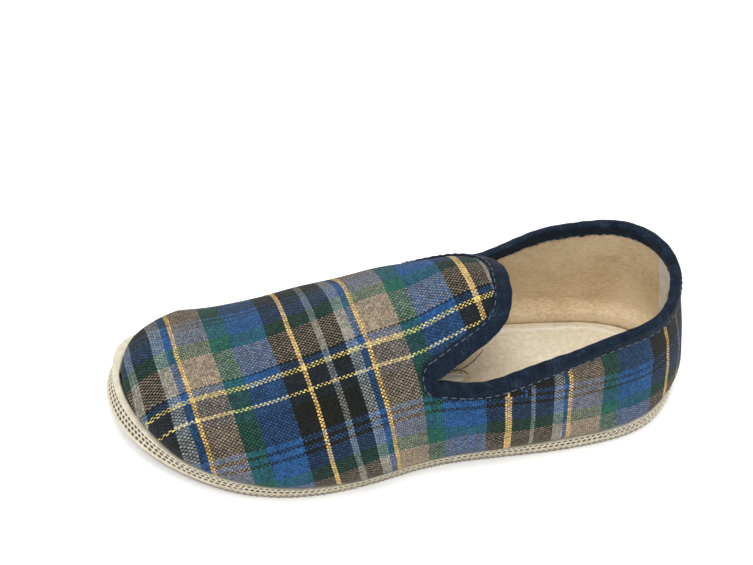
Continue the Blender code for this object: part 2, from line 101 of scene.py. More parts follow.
# top line of the sections: share of the length from the heel, share of the instep height
RIDGE = (
    (0.320, 0.915), (0.391, 0.985), (0.462, 0.945), (0.543, 0.875), (0.635, 0.750), (0.726, 0.625),
    (0.817, 0.520), (0.898, 0.480), (0.970, 0.468),
)
# edge of the quarters: share of the way from the notch to the back of the heel, share of the heel height
TOPLINE = ((0.00, 0.720), (0.20, 0.705), (0.40, 0.865), (0.60, 0.980), (0.80, 1.015), (1.00, 0.990))
# height of the band: share of the length from the heel, share of its height at the toe
BAND = ((0.000, 0.85), (0.150, 0.70), (0.400, 0.42), (0.680, 0.43), (0.850, 0.85), (1.000, 1.00))
# how the upper bulges over the band: share of the length, of the overhang, of the rise, of the overhang at the edge
BULGE = (
    (0.000, 0.66, 0.40, 0.78), (0.135, 0.78, 0.40, 0.32), (0.390, 1.00, 0.46, 1.00),
    (0.675, 0.85, 0.38, 1.00), (0.850, 0.75, 0.35, 1.00), (1.000, 0.04, 0.70, 1.00),
)

# counts of the fine grids
OUTLINE_POINTS = 1440
VAMP_STATIONS = 110
HALF_ROWS = 58
WALL_ROWS = 24
CROWN_ROWS = HALF_ROWS - WALL_ROWS
TURN_ROWS = (0, 1, 5, 9, 13, 17, 21, 24)
STRAIGHT_ROWS = WALL_ROWS + 2 - len(TURN_ROWS)
QUARTER_STATIONS = 100
FLAP_STEPS = 26
BAND_STATIONS = 2200

# places inside the shoe from which every face of the upper looks outward
CORE_X = (0.045, 0.225)
CORE_Z = 0.020


def cubic(value, next_value, curve, next_curve, h, before, after):
    """Cubic between two knots h apart, from their values and second derivatives and the ways to both."""
    bend = (curve * before ** 3 + next_curve * after ** 3) / (6 * h)
    return bend + (value / h - curve * h / 6) * before + (next_value / h - next_curve * h / 6) * after


def spline(table, column):
    """Natural cubic curve through the first column of a table and another of its columns."""
    x, y = np.array(table)[:, [0, column]].T
    count = len(x)
    h = np.diff(x)
    slope = np.diff(y) / h
    a = np.eye(count)
    b = np.zeros(count)
    for i in range(1, count - 1):
        a[i, i - 1:i + 2] = h[i - 1], 2 * (h[i - 1] + h[i]), h[i]
        b[i] = 6 * (slope[i] - slope[i - 1])
    m = np.linalg.solve(a, b)

    def value(at):
        at = np.clip(at, x[0], x[-1])
        i = np.clip(np.searchsorted(x, at) - 1, 0, count - 2)
        return cubic(y[i], y[i + 1], m[i], m[i + 1], h[i], x[i + 1] - at, at - x[i])

    return value


def closed_curve(points, count):
    """Closed cubic curve through plan points, sampled evenly."""
    points = np.array(points)
    n = len(points)
    t = arc(looped(points))
    d = np.diff(t)
    slope = (np.roll(points, -1, 0) - points) / d[:, None]
    a = np.diag(2 * (np.roll(d, 1) + d))
    i = np.arange(n)
    a[i, i - 1] = np.roll(d, 1)
    a[i, (i + 1) % n] = d
    k = np.linalg.solve(a, 6 * (slope - np.roll(slope, 1, 0)))
    u = np.linspace(0, t[-1], count, endpoint=False)
    i = np.clip(np.searchsorted(t, u, side="right") - 1, 0, n - 1)
    j = (i + 1) % n
    return cubic(points[i], points[j], k[i], k[j], d[i][:, None], (t[i + 1] - u)[:, None], (u - t[i])[:, None])


def smooth(t):
    t = np.clip(t, 0.0, 1.0)
    return t * t * (3 - 2 * t)


def toe_share(x, start=THICKER_START):
    """None behind a share of the sole's length, one at the toe tip, eased between."""
    return smooth((x / SOLE_LENGTH - start) / (1 - start))


def unit(vectors):
    return vectors / np.linalg.norm(vectors, axis=-1, keepdims=True)


def looped(rows):
    """The rows with the first one again at the end."""
    return np.concatenate([rows, rows[:1]])


def arc(curve):
    """Length along a polyline at each of its points."""
    return np.concatenate([[0.0], np.cumsum(np.linalg.norm(np.diff(curve, axis=0), axis=1))])


def at_ways(ways, d, curve):
    """Points of a polyline at ways along it, where d is the way to each of its own points."""
    return np.stack([np.interp(ways, d, column) for column in curve.T], 1)


def along(curve, shares):
    """Points at shares of a polyline's length."""
    d = arc(curve)
    return at_ways(np.asarray(shares) * d[-1], d, curve)


class Last:
    """Plan outline and heights that every piece follows. X runs from 0 at the heel to the sole length."""

    def __init__(self):
        length = SOLE_LENGTH
        outer = [(row[0] * length, row[1] * BALL_WIDTH) for row in OUTLINE]
        inner = [(row[0] * length, -row[2] * BALL_WIDTH) for row in OUTLINE]
        points = [(0.0, 0.0)] + outer + [(length, TOE_TIP_SHIFT * BALL_WIDTH)] + inner[::-1]
        self.outline = closed_curve(points, OUTLINE_POINTS)
        d = unit(np.roll(self.outline, -1, 0) - np.roll(self.outline, 1, 0))
        self.normal = np.stack([-d[:, 1], d[:, 0]], 1)
        if ((self.outline - self.outline.mean(0)) * self.normal).sum() < 0:
            self.normal = -self.normal
        self.ridge_share = spline(RIDGE, 1)
        self.top_share = spline(TOPLINE, 1)
        self.bulge_share, self.rise_share, self.edge_share = (spline(BULGE, column) for column in (1, 2, 3))
        self.band_share = spline(BAND, 1)

    def offset(self, distance, thicker):
        """The outline moved out by a distance, and in by a share of what the band is thicker at the toe."""
        return self.outline + self.normal * (distance - thicker * TOE_THICKER * toe_share(self.outline[:, :1]))

    def sides(self, distance, thicker):
        """Outer and inner half of an offset outline, from heel tip to toe tip."""
        o = self.offset(distance, thicker)
        o = np.roll(o, -o[:, 0].argmin(), 0)
        toe = o[:, 0].argmax()
        first, second = o[:toe + 1], looped(o)[toe:][::-1]
        return (first, second) if first[:, 1].mean() > second[:, 1].mean() else (second, first)

    def band(self, x):
        """Height of the band's top over the outsole."""
        return BAND_HEIGHT * self.band_share(x / SOLE_LENGTH)

    def floor(self, x):
        """Height of the tread over the floor: flat, then the toe spring."""
        return TOE_SPRING * np.clip((x / SOLE_LENGTH - SPRING_START) / (1 - SPRING_START), 0, 1) ** 2

    def raised(self, plan, height):
        """Plan points at a height over the tread."""
        return np.column_stack([plan, self.floor(plan[:, 0]) + height])


LAST = Last()
SKIN = -(BAND_THICK + GAP + BAND_EASE)
BASE = OUTSOLE_THICK + GAP

# the last's own X and Y less those of the frame, from the outsole, which both have
SOLE_PLAN = LAST.offset(-OUTSOLE_INSET, 0.0)
SOLE_BOX = np.array([list(corner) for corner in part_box("outsole")])
SHIFT = np.array([*(0.5 * (SOLE_PLAN.min(0) + SOLE_PLAN.max(0)) - SOLE_BOX[:, :2].mean(0)), 0.0])


class Skin:
    """One face of the upper. inset 0 is its outside, inset UPPER_WALL its inside."""

    def __init__(self, inset):
        self.inset = inset
        self.half = LAST.sides(SKIN - inset, 1.0)
        self.tip = min(self.half[0][:, 0].max(), self.half[1][:, 0].max())
        at = np.linspace(NOTCH_FROM_HEEL - FLAP_REACH, self.tip, 600)
        self.ridge_x = at
        self.ridge_arc = arc(np.stack([at, np.array([float(self.ridge(x)) for x in at])], 1))
        self.ridge_arc -= np.interp(NOTCH_FROM_HEEL, at, self.ridge_arc)

    def half_width(self, side, x):
        curve = self.half[0 if side > 0 else 1]
        return np.interp(x, curve[:, 0], curve[:, 1])

    def centre(self, x):
        return 0.5 * (self.half_width(1, x) + self.half_width(-1, x))

    def foot(self, x):
        return LAST.floor(x) + BASE

    def ridge(self, x):
        """Top of the section: the table, rounded down to the foot line at the toe."""
        start = self.tip - TOE_ROUND_LENGTH
        t = np.clip((x - start) / (self.tip - start), 0, 1)
        top = LAST.ridge_share(x / SOLE_LENGTH) * INSTEP_HEIGHT - self.inset
        foot = self.foot(x)
        return foot + (top - foot) * (1 - t ** TOE_ROUND_POWER) ** (1 / TOE_ROUND_POWER)

    def bulge(self, side, x):
        """How far the cloth stands out over the band, less on the inner side in front of the heel."""
        share = np.clip(LAST.bulge_share(x / SOLE_LENGTH), 0.0, 1.0) * smooth((self.tip - x) / TOE_ROUND_LENGTH)
        inner = 1 - (1 - INNER_OVERHANG) * smooth((x - NOTCH_FROM_HEEL) / WALL_BLEND)
        return OVERHANG * share * (1.0 if side > 0 else inner)

    def low(self, x, foot, bulge, rise, samples=24):
        """Foot of every section, as (distance out, height): straight inside the band, then out over its top."""
        ledge = foot + LAST.band(x) + GAP + self.inset
        turn = np.linspace(0, math.pi / 2, samples)
        over = np.stack([bulge * np.sin(turn), ledge + max(rise - self.inset, LEAST_RISE) * (1 - np.cos(turn))], 1)
        return np.concatenate([[[0.0, foot]], over])

    def arch(self, side, x, samples=72):
        """Half section at x as (y, z): its foot as far as the widest place, then the side and crown to the ridge."""
        foot = self.foot(x)
        ridge = max(self.ridge(x), foot + LEAST_HEIGHT)
        centre = self.centre(x)
        half = 0.5 * (ridge - foot)
        ledge = LAST.band(x) + GAP
        rise = min(BULGE_RISE * LAST.rise_share(x / SOLE_LENGTH), max(half - ledge, LEAST_RISE))
        scale = min(1.0, half / (ledge + rise))
        low = self.low(x, 0.0, self.bulge(side, x), rise)
        low = np.stack([self.half_width(side, x) + side * low[:, 0], foot + low[:, 1] * scale], 1)
        ym, zm = low[-1]
        t = np.linspace(0, 1, samples)
        s = 1 - t
        b = (s ** 3, 3 * s * s * t, 3 * s * t * t, t ** 3)
        y = (b[0] + b[1]) * ym + b[2] * (centre + (ym - centre) * CROWN_FLAT) + b[3] * centre
        z = b[0] * zm + b[1] * (zm + (ridge - zm) * CROWN_SIDE) + (b[2] + b[3]) * ridge
        return low, np.stack([y, z], 1)

    def wall(self, side, point, inward, top):
        """Section of the quarters in an upright plane through a foot point: its foot, then the rest to the edge."""
        x = point[0]
        low, high = self.arch(side, max(x, 0.10 * SOLE_LENGTH))
        section = np.concatenate([low, high[1:]])
        low = self.low(x, self.foot(x), self.bulge(side, x), BULGE_RISE * LAST.rise_share(x / SOLE_LENGTH))
        z = np.linspace(low[-1, 1], top, 40)
        edge = OVERHANG * LAST.edge_share(x / SOLE_LENGTH)
        plain = low[-1, 0] + (edge - low[-1, 0]) * smooth((z - z[0]) / (top - z[0]))
        plain = plain - BACK_LEAN * inward[0] ** 2 * ((z - z[0]) / HEEL_HEIGHT) ** 1.5
        drawn = np.interp(z, section[:, 1], (section[:, 0] - section[0, 0]) * side)
        share = smooth((NOTCH_FROM_HEEL - x) / WALL_BLEND)
        high = np.stack([drawn * (1 - share) + plain * share, z], 1)
        return [np.column_stack([point - inward * part[:, :1], part[:, 1]]) for part in (low, high)]

    def quarter_feet(self, side, shares):
        """Foot points from the notch round to the back of the heel, the way in from each, and the whole way."""
        curve = self.half[0 if side > 0 else 1]
        curve = curve[curve[:, 0] <= NOTCH_FROM_HEEL][::-1]
        curve = np.concatenate([[[NOTCH_FROM_HEEL, self.half_width(side, NOTCH_FROM_HEEL)]], curve])
        points = along(curve, shares)
        inward = np.where(points[:, :1] < HEEL_TURN, np.array([[HEEL_TURN, 0.0]]) - points, points * (0, -1))
        return points, unit(inward), arc(curve)[-1]

    def notch_split(self, side):
        """Share of the side and crown that lies under the notch, and their whole length by arc."""
        curve = self.arch(side, NOTCH_FROM_HEEL)[1]
        d = arc(curve)
        return np.interp(TOPLINE[0][1] * HEEL_HEIGHT, curve[:, 1], d) / d[-1], d[-1]


def flap_edge_table():
    """Edge of the flap as angle and radius in the unit frame of half girth and reach."""
    x = 1 - np.linspace(0, 1, 200) ** 1.5
    y = 1 - x ** FLAP_ROUNDNESS
    return np.arctan2(y, x), np.hypot(x, y)


def grid_faces(index):
    """Quads of a grid of vertex numbers, row by row."""
    return np.stack([index[:-1, :-1], index[1:, :-1], index[1:, 1:], index[:-1, 1:]], -1).reshape(-1, 4)


def flipped(faces):
    return faces[:, [1, 0, 3, 2]]


def quad_normals(points, faces):
    p = points[faces]
    return np.cross(p[:, 2] - p[:, 0], p[:, 3] - p[:, 1])


def facing(points, faces, away, part=slice(None)):
    """The faces, all turned over if that part of them looks against the directions away.

    The directions are given, or worked out by a function from the faces' middles.
    """
    away = away(points[faces[part]].mean(1)) if callable(away) else away
    return faces if (quad_normals(points, faces[part]) * away).sum() > 0 else flipped(faces)


def from_core(middle):
    """Directions out from the shoe's core."""
    return middle - np.stack([np.clip(middle[:, 0], *CORE_X), 0 * middle[:, 0], 0 * middle[:, 0] + CORE_Z], 1)


class UpperFace:
    """Fine mesh of one face of the upper, with the place of each point on the flat cloth.

    The vamp is a grid of sections from the notch to the toe, each from the outer foot over the ridge to the inner
    foot. The quarters are a grid of upright sections round the heel, and the flap a square laid on the tongue.
    Cloth place u is the length along the ridge from the notch, v the girth down from the ridge.
    """

    def __init__(self, inset):
        self.skin = Skin(inset)
        self.rows = []
        self.grids = []
        self.count = 0
        self.split = {side: self.skin.notch_split(side) for side in (1, -1)}
        self.vamp()
        self.quarters()
        self.flap()
        rows = np.concatenate(self.rows)
        self.points, self.u, self.v = rows[:, :3].copy(), rows[:, 3], rows[:, 4]
        self.faces, self.sides = (np.concatenate(parts) for parts in zip(*self.grids))

    def store(self, points, u, v):
        """Adds points with their places on the cloth, and gives their numbers back."""
        count = len(points)
        self.rows.append(np.column_stack([points, np.broadcast_to(u, count), v]))
        self.count += count
        return np.arange(self.count - count, self.count)

    def cover(self, faces, sides):
        """Adds faces, turned outward, each with the side of the shoe it is on."""
        faces = facing(np.concatenate(self.rows)[:, :3], faces, from_core)
        self.grids.append((faces, np.broadcast_to(sides, len(faces))))

    def section(self, side, x):
        """Section at x from foot to ridge, with the girth down from the ridge at each point."""
        cut = self.split[side][0]
        low, high = self.skin.arch(side, x)
        shares = np.concatenate([np.linspace(0, 1, STRAIGHT_ROWS) * cut,
                                 cut + np.linspace(0, 1, CROWN_ROWS + 1)[1:] * (1 - cut)])
        p = np.concatenate([low[list(TURN_ROWS)], along(high, shares)[1:]])
        girth = arc(p)
        return np.column_stack([np.full(len(p), x), p]), girth[-1] - girth

    def vamp(self):
        skin = self.skin
        rows = 2 * HALF_ROWS
        stations = []
        for i in range(VAMP_STATIONS):
            x = NOTCH_FROM_HEEL + (skin.tip - NOTCH_FROM_HEEL) * (1 - (1 - i / VAMP_STATIONS) ** 1.5)
            outer, inner = self.section(1, x), self.section(-1, x)
            points, down = (np.concatenate([a, b[::-1][1:]]) for a, b in zip(outer, inner))
            stations.append(self.store(points, np.interp(x, skin.ridge_x, skin.ridge_arc), down))
        self.grid = np.array(stations)
        tip = (skin.tip, skin.centre(skin.tip), float(skin.foot(skin.tip)))
        self.tip = self.store([tip], skin.ridge_arc[-1], [0.0])[0]
        side = np.where(np.arange(rows) < HALF_ROWS, 1, -1)
        self.cover(grid_faces(self.grid), np.tile(side, VAMP_STATIONS - 1))
        last = self.grid[-1]
        self.cover(np.stack([last[:-1], np.full(rows, self.tip), last[1:], last[1:]], -1), side)

    def quarters(self):
        ways = np.linspace(0, 1, QUARTER_STATIONS + 1)
        ring = []
        for side in (1, -1):
            feet, inward, whole = self.skin.quarter_feet(side, ways)
            columns = [self.grid[0, ::side][:WALL_ROWS + 1]]
            foot_v = np.concatenate(self.rows)[columns[0][0], 4]
            for k in range(1, len(ways)):
                if side < 0 and k == len(ways) - 1:
                    columns.append(ring[-1])
                    break
                low, high = self.skin.wall(side, feet[k], inward[k], float(LAST.top_share(ways[k])) * HEEL_HEIGHT)
                p = np.concatenate([low[list(TURN_ROWS)], along(high, np.linspace(0, 1, STRAIGHT_ROWS))[1:]])
                columns.append(self.store(p, -ways[k] * whole, foot_v - arc(p)))
            ring = columns if side > 0 else ring + columns[::-1][1:]
            self.cover(grid_faces(np.array(columns)), side)
        self.ring = np.array(ring)

    def flap(self):
        skin = self.skin
        turn_at, reach_at = flap_edge_table()
        w = (CROWN_ROWS - np.arange(2 * CROWN_ROWS + 1)) / CROWN_ROWS
        table = [self.grid[0, WALL_ROWS:WALL_ROWS + 2 * CROWN_ROWS + 1]]
        for n in range(1, FLAP_STEPS + 1):
            share = n / FLAP_STEPS
            cx = w * math.sqrt(1 - share * share / 2)
            cy = share * np.sqrt(1 - w * w / 2)
            reach = np.interp(np.arctan2(cy, np.abs(cx)), turn_at, reach_at)
            xs = NOTCH_FROM_HEEL - cy * reach * FLAP_REACH
            points = []
            down = []
            for a, x in zip(cx * reach, xs):
                side = 1 if a >= 0 else -1
                section = np.concatenate(skin.arch(side, x))[::-1]
                cut, total = self.split[side]
                down.append(abs(a) * (1 - cut) * total)
                points.append((x, *at_ways(down[-1:], arc(section), section)[0]))
            table.append(self.store(points, np.interp(xs, skin.ridge_x, skin.ridge_arc), down))
        table = np.array(table)
        side = np.where(np.arange(2 * CROWN_ROWS) < CROWN_ROWS, 1, -1)
        self.cover(grid_faces(table), np.tile(side, FLAP_STEPS))
        self.flap_loop = np.concatenate([table[:-1, -1], table[-1, ::-1], table[:-1, 0][::-1]])

    def edge_loops(self):
        """Vertex numbers round the opening and round the foot, each outer notch first."""
        opening = np.concatenate([self.ring[:, WALL_ROWS], self.flap_loop[1:-1]])
        foot = np.concatenate([self.ring[:, 0], self.grid[1:, -1], [self.tip], self.grid[1:, 0][::-1]])
        return opening, foot


def vertex_normals(points, faces):
    """Outward direction at each point, the mean of its faces."""
    n = quad_normals(points, faces)
    total = np.zeros_like(points)
    for k in range(4):
        np.add.at(total, faces[:, k], n)
    return total / np.maximum(np.linalg.norm(total, axis=1), 1e-12)[:, None]


def corners(face):
    """The different corners of a face: three where two of its four numbers agree."""
    return [v for k, v in enumerate(face) if v not in face[:k]]


def build(name, points, faces, uv=None, attributes=None):
    """Mesh object from arrays of points in the last's frame and faces of four numbers."""
    mesh = bpy.data.meshes.new(name)
    mesh.from_pydata((points - SHIFT).tolist(), [], [corners(f) for f in np.asarray(faces).tolist()])
    mesh.shade_smooth()
    if uv is not None:
        layer = mesh.uv_layers.new(name="cloth")
        layer.data.foreach_set("uv", np.asarray(uv, np.float32).ravel())
    for key, values in (attributes or {}).items():
        attribute = mesh.attributes.new(key, "FLOAT", "POINT")
        attribute.data.foreach_set("value", np.asarray(values, np.float32))
    mesh.validate()
    piece = bpy.data.objects.new(name, mesh)
    bpy.context.scene.collection.objects.link(piece)
    return piece


def ring_faces(rows, columns):
    """Quads of a ring of closed lines, each line's points in a row."""
    return grid_faces(looped(looped(np.arange(rows * columns).reshape(rows, columns)).T).T)


def tubes(name, lines, side, up, sizes, count):
    """Thin closed tubes, one along each line: a ring of places round each of its points, and both ends shut."""
    turn = 2 * math.pi * np.arange(count)[:, None] / count
    ring = side[:, None] * np.cos(turn) + up[:, None] * np.sin(turn)
    points = lines[:, :, None] + np.asarray(sizes)[:, None, None] * ring[:, None]
    rows = lines.shape[1]
    index = np.arange(rows * count).reshape(rows, count)
    end = index[-1, 0]
    ends = [face for j in range(1, count - 1)
            for face in ((0, j, j + 1, j + 1), (end, end + j + 1, end + j, end + j))]
    faces = np.concatenate([grid_faces(looped(index.T).T), ends])
    faces = faces + rows * count * np.arange(len(lines))[:, None, None]
    return build(name, points.reshape(-1, 3), faces.reshape(-1, 4))


def waves(points, size, seed):
    """Soft seeded field of about unit strength: a sum of 24 sines in all directions, their lengths round a size."""
    rng = np.random.default_rng(seed)
    total = np.zeros(len(points))
    for _ in range(24):
        d = rng.normal(size=points.shape[1])
        d *= 2 * math.pi / (np.linalg.norm(d) * size * rng.uniform(0.7, 1.6))
        total += np.sin(points @ d + rng.uniform(0, 2 * math.pi))
    return total / math.sqrt(12)


def stroke(u, v, path, width):
    """One on a line through (u, v) places in millimetres, falling off softly to zero at a width beside it."""
    best = np.full(len(u), np.inf)
    for (u0, v0), (u1, v1) in zip(path[:-1], path[1:]):
        t = np.clip(((u - u0) * (u1 - u0) + (v - v0) * (v1 - v0)) / ((u1 - u0) ** 2 + (v1 - v0) ** 2), 0, 1)
        best = np.minimum(best, np.hypot(u - u0 - t * (u1 - u0), v - v0 - t * (v1 - v0)))
    return smooth(1 - best / width)


# creases of the outer side: path of (u, v) in millimetres, width, height in millimetres, below zero for a trough
CREASES = (
    (((24, 87), (13, 85), (0, 82), (-12, 77), (-24, 76), (-34, 80)), 3.6, -1.3),
    (((20, 81), (8, 79), (0, 76), (-12, 71), (-26, 69)), 6.5, 0.8),
    (((-96, 72), (-84, 80), (-70, 82)), 5.0, -0.7),
    (((20, 20), (40, 34), (58, 40)), 12.0, -0.5),
    (((2, 48), (12, 60), (16, 74)), 10.0, -0.7),
    (((-60, 72), (-48, 84), (-40, 96)), 12.0, -0.5),
)
CLOTH_WAVE = 0.00022
CLOTH_WAVE_SIZE = 0.034
# how far the lasted cloth swells out over the top ledge of the band at the toe, from where, and to what heights
TOE_FULL = 0.0046
TOE_FULL_START = 0.80
SWELL_UP = 0.003
SWELL_DOWN = 0.022
# slopes of the cloth's cross lines: on the outer side, more at the heel, on the inner side, more low down
LEAN = (0.23, 0.05, 0.14, 0.20)
LEAN_DEPTH = 50
# bow of its long lines in millimetres: at the toe, under the tongue
BOW = (6.5, 12)
# where the cloth is stretched and by how much: past the toe, past the ball, behind the notch, low on the side
STRETCH_TOE, STRETCH_BALL, STRETCH_BACK, STRETCH_LOW = (119, 1.2), (63.3, 1.035), (-22.2, 1.10), (61, 1.3)
TOE_PLACE = 117.1


def straighten(u, v):
    """Place on the straight cloth in millimetres, from the place on the shoe.

    The cloth is pulled askew where it is lasted: its cross lines lean by a slope that grows towards the heel, its
    long lines bow at the toe and under the tongue, and it is stretched past the toe, the notch and the ball.
    """
    u = 1000 * u
    v = 1000 * v
    slope = LEAN[0] + LEAN[1] * smooth(-u / 25)
    lean = np.where(v < 0, LEAN[2] * v, slope * np.minimum(v, LEAN_DEPTH))
    a = u + lean + np.maximum(v - LEAN_DEPTH, 0) * LEAN[3] * smooth((u + 25) / 65)
    bow = BOW[0] * np.clip((u - 92) / 33, 0, None) ** 2
    b = v - bow + BOW[1] * np.clip((12 - u) / 42, 0, None) ** 1.6 * smooth((58 - np.abs(v)) / 16) * (u > -45)
    (toe, by_toe), (ball, by_ball), (back, by_back), (low, by_low) = (
        STRETCH_TOE, STRETCH_BALL, STRETCH_BACK, STRETCH_LOW)
    a = np.where(a > toe, TOE_PLACE + (a - toe) / by_toe, np.where(a > ball, ball + (a - ball) / by_ball, a))
    return np.where(a < back, back + (a - back) * by_back, a), np.where(b > low, low + (b - low) * by_low, b)


def cloth_piece():
    """The plaid outside of the upper, with its creases, soft waves and swell at the toe, and the cloth places."""
    face = UpperFace(0.0)
    points = face.points
    side = np.zeros(len(points))
    np.add.at(side, face.faces.ravel(), np.repeat(face.sides, 4))
    v = np.where(side >= 0, face.v, -face.v)
    lift = CLOTH_WAVE * waves(points, CLOTH_WAVE_SIZE, 5)
    for path, width, height in CREASES:
        lift = lift + 0.001 * height * stroke(1000 * face.u, 1000 * v, path, width)
    x = points[:, 0]
    above = points[:, 2] - LAST.floor(x) - BASE - LAST.band(x)
    swell = smooth(above / SWELL_UP) * smooth(1 - (above - SWELL_UP) / SWELL_DOWN)
    lift = (lift + TOE_FULL * toe_share(x, TOE_FULL_START) * swell) * smooth((above - 0.0005) / 0.004)
    # cloth place of every face corner: u as it is, v signed by the side of its face
    parts = [corners(f) for f in face.faces.tolist()]
    flat = np.concatenate(parts)
    sign = np.repeat(face.sides, [len(c) for c in parts])
    uv = np.stack(straighten(face.u[flat], sign * face.v[flat]), 1)
    moved = points + vertex_normals(points, face.faces) * lift[:, None]
    return build("plaid_upper", moved, face.faces, uv), face


# seeded unevenness of the lining: height, size, seed
NAP = ((0.00025, 0.009, 11), (0.0002, 0.028, 12))


def lining_piece(outside):
    """The fleece inside of the upper, and the two rims that close the cloth over to it."""
    face = UpperFace(UPPER_WALL)
    faces = [flipped(face.faces)]
    lift = sum(height * waves(face.points, size, seed) for height, size, seed in NAP)
    inner = face.points + vertex_normals(face.points, faces[0]) * np.abs(lift)[:, None]
    points = np.concatenate([inner, *(outside.points[loop] for loop in outside.edge_loops())])
    start = len(inner)
    # the rim of the opening looks up and that of the foot looks down
    for loop, up in zip(face.edge_loops(), (1, -1)):
        other = np.arange(start, start + len(loop))
        start += len(loop)
        faces.append(facing(points, grid_faces(np.stack([looped(loop), looped(other)])), (0, 0, up)))
    return build("fleece_lining", points, np.concatenate(faces)), face


class Rail:
    """The sole's outline as evenly spaced places with their outward directions and their length along it."""

    def __init__(self, count):
        closed = looped(LAST.outline)
        d = arc(closed)
        self.way = np.linspace(0, d[-1], count, endpoint=False)
        self.plan = at_ways(self.way, d, closed)
        self.out = unit(at_ways(self.way, d, looped(LAST.normal)))
        self.floor = LAST.floor(self.plan[:, 0])
        self.share = toe_share(self.plan[:, 0])

    def line(self, distance, height, thicker=0.0):
        plan = self.plan + self.out * (distance - thicker * TOE_THICKER * self.share)[:, None]
        return np.column_stack([plan, self.floor + height])


# how far the band's top is drawn in towards the cloth at the toe, and its tip pushed on
BAND_LEAN = 0.0044
TOE_FLARE = 0.0020
FINE_LIP = 0.0012
FINE_STRIP = 0.0009
HOLLOW_PITCH = 0.0027
HOLLOW_LONG = 0.00105
HOLLOW_TALL = 0.37
HOLLOW_DEEP = 0.00080
HOLLOW_LINES = 20
ROUND_LINES = 8
# height of the recess from which it carries three rows of hollows, not two
THREE_ROWS = 0.0046
KNOB_PROUD = 0.0006
KNOBS_END = 0.84


def knobs(x):
    """Share of the knobs along the sole: they die out before the toe."""
    return smooth((KNOBS_END - x / SOLE_LENGTH) / 0.06)


def band_piece():
    """Rubber band: lower strip, recess with rows of oval hollows, rounded lip, top ledge and inner wall.

    Down the recess a hollow is a dish of depth (1 - r*r) to the power 0.7, where r is one on its oval rim.
    """
    rail = Rail(BAND_STATIONS)
    x = rail.plan[:, 0]
    band = LAST.band(x)
    small = np.clip(band / 0.0075, 0.50, 1.0)
    strip = FINE_STRIP * small
    lip = FINE_LIP * small
    lean = BAND_LEAN * rail.share * smooth(rail.out[:, 1] + 0.9)
    knob = KNOB_PROUD * np.clip(np.sin(2 * math.pi * rail.way / HOLLOW_PITCH), -0.3, 1) * knobs(x)
    recess = band - strip - lip
    rows = np.where(recess > THREE_ROWS, 3, 2)
    tall = HOLLOW_TALL * recess / rows
    lines = []
    dents = []

    def row(distance, height, thicker=0.0, dent=0.0):
        drawn = lean * height / band if thicker < 1 else 0
        line = rail.line(distance - drawn + 0 * x, BASE + height, thicker)
        line[:, 0] += TOE_FLARE * rail.share
        lines.append(line)
        dents.append(dent + 0 * x)

    row(-BAND_THICK, 0 * x, 1.0)
    row(-BAND_ROUND, 0 * x)
    for k in range(ROUND_LINES):
        t = (k + 0.5) / ROUND_LINES
        row((STRIP_PROUD + knob) * math.sin(math.pi * t) ** 0.7 - BAND_ROUND * (1 - t) ** 6, strip * t)
    for k in range(HOLLOW_LINES + 1):
        t = k / HOLLOW_LINES
        line = np.floor(np.minimum(t * rows, rows - 0.001))
        up = (t * rows - line - 0.5) * recess / rows
        shifted = rail.way + 0.5 * HOLLOW_PITCH * line + 0.35 * up + 0.0003 * np.sin(rail.way / 0.0061 + 2 * line)
        cell = (shifted / HOLLOW_PITCH) % 1.0 - 0.5
        dish = np.clip(1 - (cell * HOLLOW_PITCH / HOLLOW_LONG) ** 2 - (up / tall) ** 2, 0, 1) ** 0.7
        row(-HOLLOW_DEEP * dish * np.minimum(small + 0.1, 1.0), strip + recess * t, 0.0, dish)
    for k in range(1, ROUND_LINES):
        t = k / ROUND_LINES
        row(LIP_PROUD * math.sin(math.pi * t ** 0.8) ** 0.6 - BAND_ROUND * t ** 8, band - lip * (1 - t))
    row(-0.9 * BAND_ROUND, band, 0.25)
    row(-BAND_ROUND, band, 0.6)
    row(-BAND_THICK, band, 1.0)
    points = np.concatenate(lines)
    centre = np.append(rail.plan.mean(0), 0.0)
    faces = facing(points, ring_faces(len(lines), len(x)), lambda middle: (middle - centre) * (1, 1, 0),
                   slice(20 * len(x)))
    return build("side_band_moulded", points, faces, attributes={"hollow": np.concatenate(dents)})


def slab(levels, stations, across):
    """Closed solid of the sole's plan through levels (distance out, height, thicker), and the tables of its ends."""
    points = []
    loops = []
    tables = []
    total = 0
    for number, (distance, height, thicker) in enumerate(levels):
        half = [along(curve, 0.5 - 0.5 * np.cos(np.linspace(0, math.pi, stations + 1)))
                for curve in LAST.sides(distance, thicker)]
        points.append(LAST.raised(np.concatenate([half[0], half[1][::-1][1:-1]]), height))
        index = np.arange(total, total + len(points[-1]))
        total += len(index)
        loops.append(looped(index))
        if number in (0, len(levels) - 1):
            t = np.linspace(0, 1, across + 1)[None, 1:-1, None]
            inner = (half[0][1:-1, None] * (1 - t) + half[1][1:-1, None] * t).reshape(-1, 2)
            points.append(LAST.raised(inner, height))
            table = np.zeros((stations + 1, across + 1), int)
            table[1:-1, 1:-1] = np.arange(total, total + len(inner)).reshape(stations - 1, across - 1)
            total += len(inner)
            table[:, 0] = index[:stations + 1]
            table[1:-1, -1] = index[stations + 1:][::-1]
            table[0, :] = index[0]
            table[-1, :] = index[stations]
            tables.append(table)
    points = np.concatenate(points)
    middle = points.mean(0)
    parts = [facing(points, grid_faces(np.array(index)), away) for index, away in (
        (tables[0], (0, 0, -1)), (loops, lambda place: (place - middle) * (1, 1, 0)), (tables[1], (0, 0, 1)))]
    return points, np.concatenate(parts), tables


def edge_distance(plan, distance, thicker):
    """Distance of plan points from an offset outline, inwards."""
    edge = LAST.offset(distance, thicker)[::4]
    return np.concatenate([np.sqrt(((part[:, None] - edge[None]) ** 2).sum(2)).min(1)
                           for part in np.array_split(plan, 12)])


